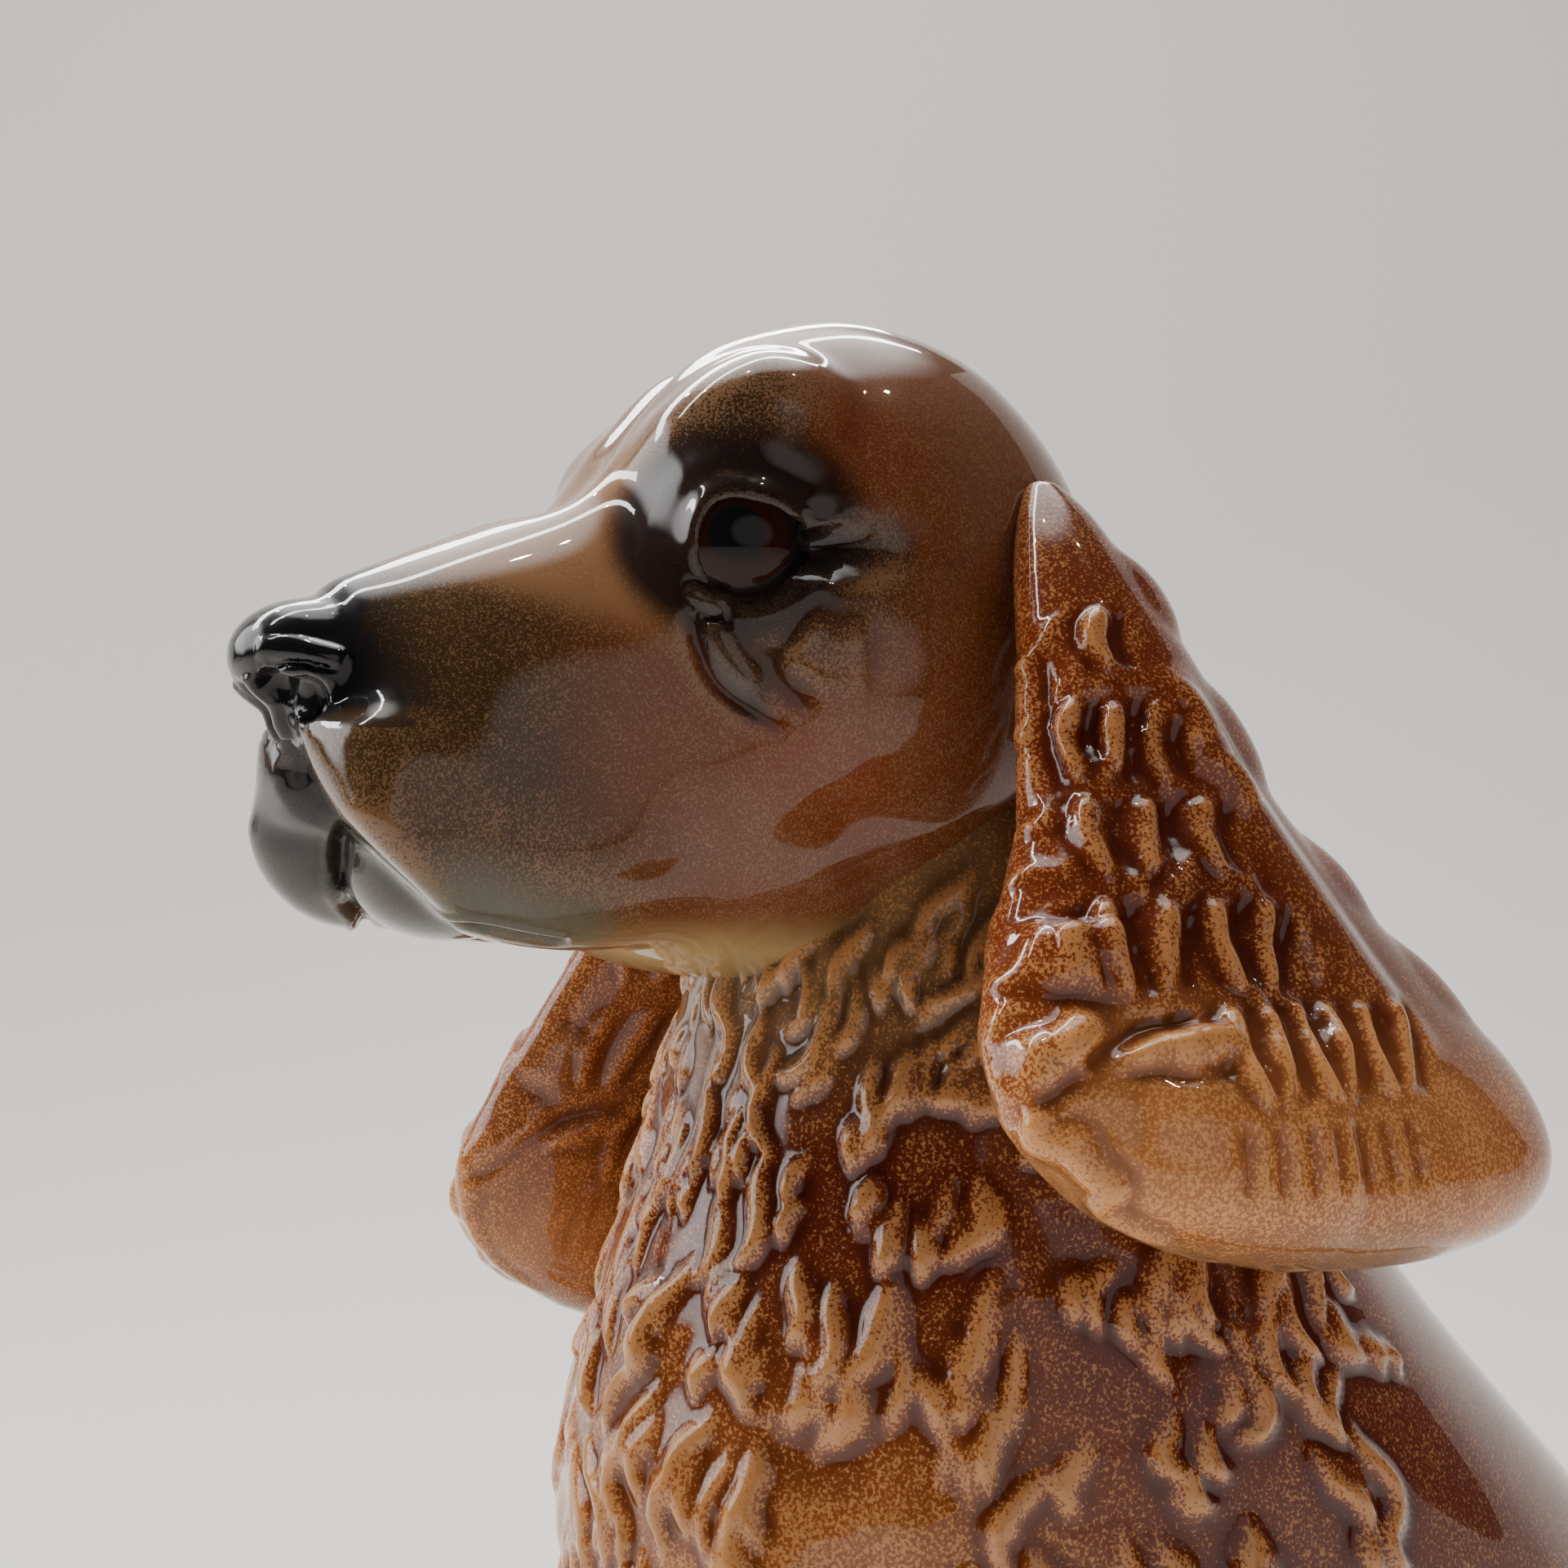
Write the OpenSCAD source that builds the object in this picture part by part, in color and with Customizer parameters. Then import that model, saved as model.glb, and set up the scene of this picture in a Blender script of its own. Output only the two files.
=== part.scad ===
// Seated spaniel figurine in glazed ceramic.
// Each casting is a separate solid, and the castings meet along their luting seams.
// Millimetres. +Z is up, the dog looks along -Y, and its left side is +X.

/* [Clay] */
// Thickness of the slip-cast wall
wall = 4.5; // [3.5:0.5:5.5]
// Thickness of the slab that closes the foot
slab_h = 5; // [4:0.5:7]
// Diameter of the firing vent in the slab
vent_d = 12; // [8:1:18]

/* [Coat] */
// Radius of a modelled lock of hair at its root
lock_r = 3.6; // [3:0.2:4.2]
// Number of locks in each row of the chest ruff
ruff_locks = 7; // [5:1:9]

/* [Face] */
// Radius of the eyeballs
eye_r = 7.4; // [6.5:0.1:8]
// Width of the nose leather
nose_w = 21; // [18:0.5:23]

/* [Legs] */
// Distance of each foreleg from the middle
foreleg_x = 22; // [20:1:25]
// Radius of one toe
toe_r = 5; // [4.5:0.25:5.5]

/* [Hidden] */

ring_sides = 36;
inner_sides = 36;
steps = 2;
ball_fn = 16;

coat_brown = [0.42, 0.19, 0.09];
ear_brown = [0.48, 0.20, 0.09];
mask_brown = [0.33, 0.17, 0.11];
leather_black = [0.04, 0.04, 0.045];
eye_brown = [0.10, 0.03, 0.02];
bare_clay = [0.86, 0.82, 0.74];

// Torso levels: height, front, back, half width, roundness of the outline
torso_levels = [
    [0, -24, 106, 46, 2.3],
    [5, -24, 106, 46, 2.3],
    [25, -31, 110, 50, 2.3],
    [50, -43, 104, 50, 2.3],
    [75, -58, 91, 49, 2.2],
    [100, -71, 74, 48, 2.2],
    [120, -80, 56, 46.5, 2.1],
    [140, -82, 35, 44.5, 2.1],
    [158, -78, 17, 42, 2],
    [175, -72, 3, 38, 2],
    [190, -68, -9, 34, 2],
    [203, -64, -18, 30, 2],
    [214, -60, -26, 24, 2],
    [221, -57, -33, 19, 2]
];

// Head stations from the back of the skull to the nose:
// place, bottom, top, half width, roundness, how much narrower the top is than the bottom
head_stations = [
    [-28, 224, 243, 10, 2, 0],
    [-30.5, 212, 251, 18, 2, 0],
    [-36, 202, 258, 23.5, 2, 0],
    [-44, 196, 263, 26, 2.1, 0],
    [-54, 193.5, 264.8, 27, 2.1, 0.02],
    [-63, 193, 263, 26.5, 2.2, 0.05],
    [-72, 193.5, 259, 25, 2.3, 0.1],
    [-79, 194.5, 251.5, 23.5, 2.4, 0.14],
    [-86, 195, 243, 21.5, 2.4, 0.17],
    [-94, 196, 239.3, 19.5, 2.5, 0.18],
    [-102, 197.5, 236, 17.8, 2.5, 0.16],
    [-109, 200.5, 233, 15.3, 2.4, 0.12],
    [-114, 206, 231, 12, 2.2, 0.05],
    [-116, 214, 228, 7, 2, 0]
];

// Ear levels: height, front edge, back edge, distance from the middle, half thickness, roundness
left_ear_levels = [
    [168.5, -38, -20, 55.5, 3, 2],
    [172, -52, -9, 55.5, 7.5, 2],
    [178, -62, -5, 55, 9.5, 2],
    [186, -67, -8, 52.5, 9, 2],
    [194, -65, -15, 48, 8, 2],
    [203, -60, -22, 44, 7.5, 2],
    [212, -55, -28, 40, 7, 2],
    [225, -52, -33, 35, 6.5, 2],
    [236, -50, -38, 31, 5, 2],
    [242.5, -47, -43, 28, 3, 2]
];
right_ear_levels = [
    [144, -56, -46, 56, 3, 2],
    [148, -66, -40, 56, 6, 2],
    [156, -76, -33, 56, 8.5, 2],
    [166, -79, -28, 55.5, 9, 2],
    [176, -75, -27, 53.5, 8.5, 2],
    [188, -69, -27, 49, 8, 2],
    [200, -63, -28, 44.5, 7.5, 2],
    [212, -57, -30, 40, 7, 2],
    [225, -52, -33, 35, 6.5, 2],
    [236, -50, -38, 31, 5, 2],
    [242.5, -47, -43, 28, 3, 2]
];

eye_at = [17.2, -73.4, 236];
eye_turn = 58;
eye_sink = 3;

function spline(v, i, t) =
    let (last = len(v) - 1, a = v[max(i - 1, 0)], b = v[i], c = v[min(i + 1, last)], d = v[min(i + 2, last)])
    b + 0.5 * t * ((c - a) + t * ((2 * a - 5 * b + 4 * c - d) + t * (3 * b - a - 3 * c + d)));

function smooth(v, n) =
    [for (i = [0:len(v) - 2], k = [0:n - 1]) spline(v, i, k / n), v[len(v) - 1]];

function column(v, k) = [for (s = v) [s[0], s[k]]];

function corner(c, round_n) = sign(c) * pow(abs(c), 2 / round_n);

// A superellipse outline about its own centre
function outline(half_x, half_y, round_n, sides) =
    [for (k = [0:sides - 1]) [
        half_x * corner(cos(360 * k / sides), round_n),
        half_y * corner(sin(360 * k / sides), round_n)]];

function level_ring(s, inset, sides) =
    let (mid = (s[1] + s[2]) / 2, half = (s[2] - s[1]) / 2 - inset)
    [for (p = outline(s[3] - inset, half, s[4], sides)) [p[0], mid + p[1], s[0]]];

function head_ring(s, inset, sides) =
    let (mid = (s[1] + s[2]) / 2, half = (s[2] - s[1]) / 2 - inset)
    [for (p = outline(s[3] - inset, half, s[4], sides)) [p[0] * (1 - s[5] * p[1] / half), s[0], mid + p[1]]];

function ear_ring(s, side, sides) =
    let (mid = (s[1] + s[2]) / 2, half = (s[2] - s[1]) / 2)
    [for (p = outline(s[4], half, s[5], sides)) [side * (s[3] + p[0]), mid + p[1], s[0]]];

function wrapped(rings, sides) =
    [for (i = [0:len(rings) - 2], k = [0:sides - 1], half = [0, 1])
        let (a = i * sides + k, b = i * sides + (k + 1) % sides)
        half == 0 ? [a, b, b + sides] : [a, b + sides, a + sides]];

// A closed solid through a row of rings that all have the same number of points
module skin(rings, flip = false) {
    sides = len(rings[0]);
    top = (len(rings) - 1) * sides;
    walls = wrapped(rings, sides);
    ends = [[for (k = [sides - 1:-1:0]) k], [for (k = [0:sides - 1]) top + k]];
    faces = concat(walls, ends);
    turned = [for (f = faces) [for (k = [len(f) - 1:-1:0]) f[k]]];
    polyhedron([for (r = rings) each r], flip ? faces : turned, convexity = 6);
}

// A tapered roll of clay between two balls
module roll(a, b, ra, rb, fn = ball_fn) {
    hull() {
        translate(a) sphere(ra, $fn = fn);
        translate(b) sphere(rb, $fn = fn);
    }
}

module mirrored(side) {
    scale([side, 1, 1]) children();
}

module torso_outer() {
    skin([for (s = smooth(torso_levels, steps)) level_ring(s, 0, ring_sides)]);
}

module torso_inner() {
    levels = smooth(torso_levels, 1);
    first = levels[0] - [1, 0, 0, 0, 0];
    last = levels[len(levels) - 1] + [1, 0, 0, 0, 0];
    skin([for (s = concat([first], levels, [last])) level_ring(s, wall, inner_sides)]);
}

module head_outer() {
    skin([for (s = smooth(head_stations, steps)) head_ring(s, 0, ring_sides)]);
}

module head_inner() {
    hollow = [for (s = head_stations) if (s[3] > 2 * wall + 5) s];
    skin([for (s = hollow) head_ring(s, wall, inner_sides)]);
}

// One lock of the ruff, lying on the chest at a height and an angle from straight ahead
module ruff_lock(z, turn) {
    drop = 15;
    sway = 5 * sin(turn * 9 + z * 11);
    roll(ruff_point(z, turn), ruff_point(z - drop, turn + sway), lock_r, lock_r * 0.55, 12);
}

function ruff_point(z, turn) =
    let (front = lookup(z, column(torso_levels, 1)), back = lookup(z, column(torso_levels, 2)))
    let (half = (back - front) / 2, wide = lookup(z, column(torso_levels, 3)))
    [(wide - 1.5) * sin(turn), (front + back) / 2 - (half - 1.5) * cos(turn), z];

module torso() {
    color(coat_brown)
    difference() {
        union() {
            torso_outer();
            for (row = [0:3], k = [0:ruff_locks - 1]) {
                spread = 9 + 1.5 * row;
                ruff_lock(178 - 17 * row, (k - (ruff_locks - 1) / 2 + (row % 2) / 2) * spread);
            }
        }
        torso_inner();
    }
}

module base_slab() {
    foot = torso_levels[0];
    mid = (foot[1] + foot[2]) / 2;
    half = (foot[2] - foot[1]) / 2 - wall;
    color(bare_clay)
    difference() {
        translate([0, mid, 0]) linear_extrude(slab_h) polygon(outline(foot[3] - wall, half, foot[4], inner_sides));
        translate([0, mid, -1]) cylinder(h = slab_h + 2, d = vent_d, $fn = 48);
    }
}

// Brow, cheek and upper lip of one side
module face_side(side) {
    mirrored(side) {
        roll([10, -77.5, 249], [16, -68, 250.5], 6.5, 6, 24);
        roll([17, -64, 221], [18, -50, 212], 10, 10, 24);
        roll([7.5, -107.5, 210], [11, -94, 206], 7, 8.5, 24);
        roll([11, -94, 206], [13.5, -79, 204], 8.5, 8.5, 24);
    }
}

// The hollow that an eye and its lids lie in
module eye_socket(side) {
    mirrored(side)
    translate([31.5, -81, 235.5]) scale([1, 1, 0.75]) sphere(13, $fn = 32);
}

module head() {
    color(mask_brown)
    difference() {
        union() {
            head_outer();
            for (side = [-1, 1]) face_side(side);
            roll([0, -107, 205], [0, -84, 201], 6, 7, 24);
        }
        head_inner();
        torso_outer();
        nose_solid();
        for (side = [-1, 1]) {
            eye_socket(side);
            eye_solid(side);
        }
    }
}

module nose_solid() {
    wing = nose_w / 2 - 5.6;
    hull() {
        translate([0, -111.4, 225.6]) sphere(6.6, $fn = 24);
        for (side = [-1, 1]) translate([side * wing, -109, 223]) sphere(5.6, $fn = 24);
        translate([0, -110.5, 218]) sphere(3.4, $fn = 24);
    }
}

module nose() {
    color(leather_black) nose_solid();
}

// A ball with a flat back, which sits in a flat-bottomed socket
module eye_solid(side) {
    depth = eye_r - eye_sink;
    mirrored(side)
    translate(eye_at) rotate([0, 0, -eye_turn]) rotate([90, 0, 0])
    difference() {
        sphere(eye_r, $fn = 48);
        translate([0, 0, -depth - eye_r]) cube([3 * eye_r, 3 * eye_r, 2 * eye_r], center = true);
    }
}

module eye(side) {
    color(eye_brown) eye_solid(side);
}

// Locks along the lower half of an ear, on its outer face
module ear_locks(levels, side) {
    for (i = [2:5], k = [-1:1]) {
        s = levels[i];
        t = levels[i - 1];
        mid = (s[1] + s[2]) / 2 + k * (s[2] - s[1]) / 4;
        low = (t[1] + t[2]) / 2 + k * (t[2] - t[1]) / 4.5;
        roll([side * (s[3] + s[4] - 3.2), mid, s[0]], [side * (t[3] + t[4] - 3.2), low, t[0]], 3, 2.4, 12);
    }
}

module ear(levels, side) {
    color(ear_brown)
    difference() {
        union() {
            skin([for (s = smooth(levels, steps)) ear_ring(s, side, 24)], flip = side < 0);
            ear_locks(levels, side);
        }
        head_solid();
        torso_outer();
    }
}

// The head's outside, which the ears are trimmed to
module head_solid() {
    head_outer();
    for (side = [-1, 1]) face_side(side);
}

module toes(x, y, reach, splay) {
    for (k = [-1.5:1:1.5]) {
        ahead = reach - 1.6 * abs(k);
        roll([x + k * 4, y, toe_r + 1], [x + k * splay, y - ahead, toe_r], toe_r, toe_r * 0.9);
    }
}

module floor_cut() {
    translate([-100, -150, -40]) cube([200, 300, 40]);
}

module foreleg(side) {
    color(coat_brown)
    mirrored(side)
    difference() {
        union() {
            roll([foreleg_x + 9, -44, 122], [foreleg_x + 4, -58, 84], 19, 17, 24);
            roll([foreleg_x + 4, -58, 84], [foreleg_x, -68, 40], 17, 13, 24);
            roll([foreleg_x, -68, 40], [foreleg_x, -76, 13], 13, 12, 24);
            toes(foreleg_x, -84, 12, 6.4);
            roll([foreleg_x + 4, -52, 84], [foreleg_x + 4, -50, 40], 11, 5);
            roll([foreleg_x + 6, -46, 70], [foreleg_x + 6, -42, 26], 7, 3.5);
        }
        torso_outer();
        floor_cut();
        translate([-40, -150, 0]) cube([40, 200, 200]);
    }
}

module hind_leg(side) {
    color(coat_brown)
    mirrored(side)
    difference() {
        union() {
            roll([29, 66, 56], [34, 28, 58], 30, 25, 24);
            roll([34, 28, 58], [37, 12, 46], 25, 21, 24);
            roll([37, 12, 46], [43, 44, 18], 20, 14, 24);
            roll([44, 40, 13], [46, -8, 10], 12, 10, 24);
            toes(46, -16, 15, 5.4);
        }
        torso_outer();
        floor_cut();
    }
}

// Docked tail, curling up from the rump
module tail() {
    root = [0, 98, 16];
    bend = 11;
    segments = 9;
    function place(k) = root + [0, 14 * sin(k * bend), 3.4 * k];
    color(coat_brown)
    difference() {
        for (k = [0:segments - 1]) roll(place(k), place(k + 1), 11 - 0.7 * k, 10.3 - 0.7 * k, 16);
        torso_outer();
        floor_cut();
    }
}

torso();
base_slab();
head();
nose();
eye(1);  // eye_left
eye(-1);  // eye_right
ear(left_ear_levels, 1);  // ear_left
ear(right_ear_levels, -1);  // ear_right
foreleg(1);  // foreleg_left
foreleg(-1);  // foreleg_right
hind_leg(1);  // hind_leg_left
hind_leg(-1);  // hind_leg_right
tail();
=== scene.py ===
"""Looks for a seated spaniel figurine in airbrushed, high-gloss glaze.

Every piece is blocked in on the modelling stand, smoothed, then worked over with modelling
strokes, and its colours are airbrushed onto its points before the glaze goes on. On the ears these
colours also hold a painted highlight and painted shade.
"""

import math

import bpy
import numpy as np
from mathutils import Matrix, Vector
from mathutils.bvhtree import BVHTree


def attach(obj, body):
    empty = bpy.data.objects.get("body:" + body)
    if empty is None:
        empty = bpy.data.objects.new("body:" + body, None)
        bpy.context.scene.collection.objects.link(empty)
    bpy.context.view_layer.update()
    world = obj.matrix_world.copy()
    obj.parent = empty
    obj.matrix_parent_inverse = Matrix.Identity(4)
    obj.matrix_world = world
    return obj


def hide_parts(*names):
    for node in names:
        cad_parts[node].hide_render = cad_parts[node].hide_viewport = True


bl_info = {
    "name": "Seated Spaniel Figurine",
    "version": (1, 0, 0),
    "blender": (4, 5, 0),
    "location": "3D View > Sidebar > Spaniel",
    "description": "Models the glazed spaniel around its packed castings",
    "category": "Object",
}

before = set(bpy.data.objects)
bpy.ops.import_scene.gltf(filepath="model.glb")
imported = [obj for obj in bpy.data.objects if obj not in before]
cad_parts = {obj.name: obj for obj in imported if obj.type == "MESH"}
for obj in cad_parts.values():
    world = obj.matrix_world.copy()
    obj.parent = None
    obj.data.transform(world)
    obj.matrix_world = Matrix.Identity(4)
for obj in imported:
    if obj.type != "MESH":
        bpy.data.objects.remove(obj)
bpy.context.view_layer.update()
MM = 0.001

# ---------------------------------------------------------------- proportions, in millimetres

# Height, front, back, half width, roundness of the body's outline
TORSO_LEVELS = [
    (0, -24, 106, 46, 2.3), (5, -24, 106, 46, 2.3), (25, -31, 110, 50, 2.3), (50, -43, 104, 50, 2.3),
    (75, -58, 91, 49, 2.2), (100, -71, 74, 48, 2.2), (120, -80, 56, 46.5, 2.1), (140, -82, 35, 44.5, 2.1),
    (158, -78, 17, 42, 2), (175, -72, 3, 38, 2), (190, -68, -9, 34, 2), (203, -64, -18, 30, 2),
    (214, -60, -26, 24, 2), (221, -57, -33, 19, 2),
]

# Place, underside, top, half width, roundness, how much narrower the top is than the underside
HEAD_STATIONS = [
    (-28, 224, 243, 10, 2, 0), (-30.5, 212, 251, 18, 2, 0), (-36, 202, 258, 23.5, 2, 0),
    (-44, 196, 263, 26, 2.1, 0), (-54, 193.5, 264.8, 27, 2.1, 0.02), (-63, 193, 263, 26.5, 2.2, 0.05),
    (-72, 193.5, 259, 25, 2.3, 0.1), (-79, 195, 251.5, 22.5, 2.3, 0.14), (-86, 198, 243, 20.5, 2.3, 0.17),
    (-94, 201, 239.3, 18.5, 2.3, 0.19), (-101, 203.5, 236.3, 16.3, 2.3, 0.2),
    (-106, 207, 234, 13.4, 2.2, 0.18), (-109.5, 212, 232.3, 9.6, 2.1, 0.1), (-111.5, 216, 229.5, 5.5, 2, 0),
]

# Centre and radii of the balls pressed on for the nose, and the flews and chin below it
NOSE_BALLS = [((0, -110.5, 225), (8.6, 8.1, 5.8)), ((5.9, -109.6, 222.8), (4.2, 6.1, 4)),
              ((-5.9, -109.6, 222.8), (4.2, 6.1, 4)), ((0, -109.4, 219.4), (5.2, 5.2, 4))]
FLEW_BALLS = [((7, -106.3, 214.2), (8, 8.8, 7)), ((12, -102.5, 209.8), (8.4, 11.7, 11.5))]
CHIN_BALL = ((-1, -96.5, 204.8), (10, 10.2, 7.4))

# How far forward the left flew may come at each height, on the midline; the head turns a little to the left
LEFT_FLEW_FRONT = [(198, -96), (203, -101), (208, -107), (213, -111), (219, -112)]

# The flew behind its front: path along its middle, with its thickness
FLEW_ROLL = [(7.5, -104.5, 210.5, 9.3), (10, -101, 208.7, 9.4), (11.4, -96, 207.2, 9.4),
             (11.9, -90, 206.2, 9.4), (11.7, -84, 205.8, 9), (11, -77, 206, 8)]

# The nape, from the back of the skull down into the neck
NAPE_ROLL = [(0, -46, 232, 18.5), (0, -45, 221, 20), (0, -43, 212, 20), (0, -41, 203, 19)]

# The lower edge of the flews, from the middle of the muzzle back to the corner of the mouth
LIP_EDGE = [(0, -108, 209), (6, -107, 207), (10, -104, 204), (15, -101, 201), (17, -96, 198), (17, -91, 197)]

# The opening between the lids: turn round its middle from the back corner, reach, both in degrees at the eye
EYE_CENTRE = np.array((17.2, -73.4, 236))
LID_OPENING = [(-180, 45), (-150, 50), (-120, 45), (-90, 40), (-40, 35), (-20, 43), (-8, 54), (2, 64),
               (12, 54), (35, 36), (75, 30), (100, 32), (140, 46), (180, 45)]

# Height, front edge, back edge, distance from the middle, half thickness
LEFT_EAR = [
    (170, -40, -21, 55.5, 3), (173, -53, -12, 55.5, 7.5), (178.5, -62, -8, 55, 9.5),
    (186, -67, -9.5, 52.5, 9), (194, -65, -15, 48, 8), (203, -60, -22, 44, 7.5), (212, -55, -28, 40, 7),
    (225, -52, -33, 35, 6.2),
    (234, -49.5, -37, 30.8, 5), (240, -47, -39, 27.6, 3.4), (244, -44.5, -41.5, 25, 1.6),
]
RIGHT_EAR = [
    (144, -56, -46, 56, 3), (148, -66, -40, 56, 6), (156, -76, -33, 56, 8.5), (166, -79, -28, 55.5, 9),
    (176, -75, -27, 53.5, 8.5), (188, -69, -27, 49, 8), (200, -63, -28, 44.5, 7.5), (212, -57, -30, 40, 7),
    (225, -52, -33, 35, 6.2), (236, -50, -38, 30, 5), (242.5, -48, -41, 26.5, 3.4),
    (247, -46.5, -43.5, 24, 1.6),
]

# Height the locks are measured down from, and a distance from the middle that is clear of both ears
EAR_ROOT, OUTSIDE_EAR = 242.5, 60.0

# Broad swells on the outside of the left ear: reach, height, and a path of (toward the back, up)
EAR_SWELLS = [
    (6, 2, [(-58, 200), (-60, 194)]), (12, 1.3, [(-58, 184), (-38, 181)]),
    (4.5, 1.1, [(-41, 224), (-34, 206), (-26, 187)]), (4, 1.5, [(-66, 188), (-58, 192)]),
    (6, -0.9, [(-47, 221), (-44, 206)]), (5, -0.8, [(-41, 203), (-36, 190)]),
]

# Rows of locks down the ear: height of their tops, front one, back one, how many, length
LOCK_ROWS = [
    (229, -46, -44, 1, 6), (220, -51, -43, 3, 8), (211, -52, -41, 3, 7), (202, -54, -38, 4, 8),
    (193, -46, -28, 6, 8),
]


def lock_rows(shift):
    """The locks' paths, moved back by a shift; every other lock hooks forward at its end."""
    paths = []
    for top, front, back, count, length in LOCK_ROWS:
        for turn, y in enumerate(np.linspace(front, back, count) + shift):
            hook = 3 if turn % 2 else 1
            paths.append([(y, top), (y - 1.5, top - 0.5 * length), (y - hook, top - length)])
    return paths


EAR_LOCKS = [(2.6, 1.2, path) for path in lock_rows(0)]
EAR_LOCKS += [(3.4, 1.5, [(-47, 191), (-58, 189)]), (3.2, 1.1, [(-65, 186), (-64, 180), (-54, 174)])]
EAR_CREASES = [(1.5, 0.9, path) for path in lock_rows(2.5)]
EAR_CREASES += [(1.8, 0.7, [(y, 184), (y - 0.5, 178)]) for y in range(-50, -30, 3)]
EAR_CREASES += [(1.6, 1.2, [(-66, 185), (-57, 191), (-50, 192)])]

# Rolls of the left legs and of the tail: path along the middle, with its thickness
FORELEG_ROLLS = [
    [(24, -38, 128, 12), (28, -45, 116, 16), (28.5, -51, 101, 17.2), (26, -57.5, 84, 16), (24, -63, 62, 13.8),
     (22.5, -67.5, 42, 12.2), (22, -71, 27, 11.8), (22, -76, 15, 12.4)],
    [(26, -50, 96, 12.5), (26, -49, 70, 10), (25, -53, 44, 7), (24, -58, 26, 5)],
    [(28, -46, 84, 9), (28, -43.5, 58, 7), (27, -47, 36, 4)],
]
HIND_LEG_ROLLS = [
    [(25, 68, 52, 26), (29, 48, 57, 28.5), (32, 28, 55, 26), (35, 13, 43, 21)],
    [(33, 60, 36, 24), (37, 40, 33, 21), (39, 20, 28, 17)],
    [(42, 48, 15, 12.5), (44, 22, 13, 11.5), (46, -4, 11.5, 11)],
]
TAIL_ROLL = [(0, 96, 18, 10.5), (0, 101.5, 24, 10), (0, 106, 31, 8.6), (0, 107.5, 38.5, 7), (0, 106.5, 45, 5)]

# Middle of the foot at the root of its toes, how far they reach, and how far apart they end
FORE_TOES = (22, -83, 11.5, 6.1)
HIND_TOES = (46, -16, 13, 5.7)
TOE_PLACES = (-1.5, -0.5, 0.5, 1.5)
SOLE = 4

# Spacing of the points while a piece is only roughed out
HEAD_ROUGH, EAR_ROUGH, LEG_ROUGH = 0.7, 0.8, 1.1

# ---------------------------------------------------------------- finishes and stage

# Glaze settings by piece: clay colour that shows through, size of its grain, pooling, waviness
HEAD_GLAZE = {"pale": (0.27, 0.14, 0.066), "grain": 3900, "pooling": 0.5, "ripple": 0.04}
NOSE_GLAZE = {"pale": (0.02, 0.02, 0.02), "grain": 3900, "pooling": 0.2, "ripple": 0.04}
EAR_GLAZE = {"pale": (0.76, 0.34, 0.115), "grain": 3100, "pooling": 0.7, "ripple": 0.05}
EYE_GLAZE = {"pale": (0.1, 0.03, 0.01), "ripple": 0.0, "roughness": 0.1, "coat": 0.45}
GLASS_IOR = 1.5

# Where the camera stands, in metres, with its turn and tilt in degrees
CAMERA_PLACE = (0.1788, -0.1505, 0.2035)
CAMERA_TURN, CAMERA_TILT = 63, 3
FOCAL_LENGTH, SENSOR_WIDTH = 42.4, 36
PAPER = (0.58, 0.555, 0.525, 1)
LIT_SPOT = (0, -0.05, 0.2)
CEILING_SPOTS = [(-0.6, -0.3, 1.0), (-0.3, -0.5, 1.2), (-0.1, -0.2, 1.3), (0.2, 0.3, 1.2)]


# ---------------------------------------------------------------- shapes

def spline(points, count):
    """A smooth curve of count points through rows of numbers."""
    p = np.asarray(points, float)
    last = len(p) - 1
    at = np.linspace(0, last, count)
    i = np.minimum(at.astype(int), last - 1)
    t = (at - i)[:, None]
    a, b, c, d = p[np.maximum(i - 1, 0)], p[i], p[i + 1], p[np.minimum(i + 2, last)]
    return b + 0.5 * t * ((c - a) + t * ((2 * a - 5 * b + 4 * c - d) + t * (3 * b - a - 3 * c + d)))


def at_levels(table, wanted):
    """Rows of a table at wanted values of its first column, on the smooth curve through the rows."""
    fine = spline(table, 12 * len(table))
    order = np.argsort(fine[:, 0])
    fine = fine[order]
    return np.column_stack([np.interp(wanted, fine[:, 0], fine[:, k]) for k in range(fine.shape[1])])


def outline(half_x, half_y, roundness, angles):
    """A superellipse about its own centre."""
    c, s = np.cos(angles), np.sin(angles)
    power = 2 / roundness
    return np.column_stack([half_x * np.sign(c) * abs(c) ** power, half_y * np.sign(s) * abs(s) ** power])


def deselect():
    bpy.ops.object.select_all(action="DESELECT")


def activate(obj):
    deselect()
    obj.select_set(True)
    bpy.context.view_layer.objects.active = obj


def loft(name, rings):
    """A closed skin over rings of equal length: one circle for each ring, bridged and capped."""
    sides = len(rings[0])
    deselect()
    bpy.ops.mesh.primitive_circle_add(vertices=sides, radius=1)
    obj = bpy.context.object
    obj.name = name
    bpy.ops.object.mode_set(mode="EDIT")
    for _ in rings[1:]:
        bpy.ops.mesh.primitive_circle_add(vertices=sides, radius=1)
    bpy.ops.object.mode_set(mode="OBJECT")
    place = np.concatenate(rings) * MM
    obj.data.vertices.foreach_set("co", place.astype(np.float32).ravel())
    bpy.ops.object.mode_set(mode="EDIT")
    bpy.ops.mesh.select_all(action="SELECT")
    bpy.ops.mesh.bridge_edge_loops(type="SINGLE")
    bpy.ops.mesh.select_all(action="DESELECT")
    bpy.ops.mesh.select_non_manifold()
    bpy.ops.mesh.edge_face_add()
    bpy.ops.mesh.select_all(action="SELECT")
    bpy.ops.mesh.normals_make_consistent(inside=False)
    bpy.ops.object.mode_set(mode="OBJECT")
    return obj


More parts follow.
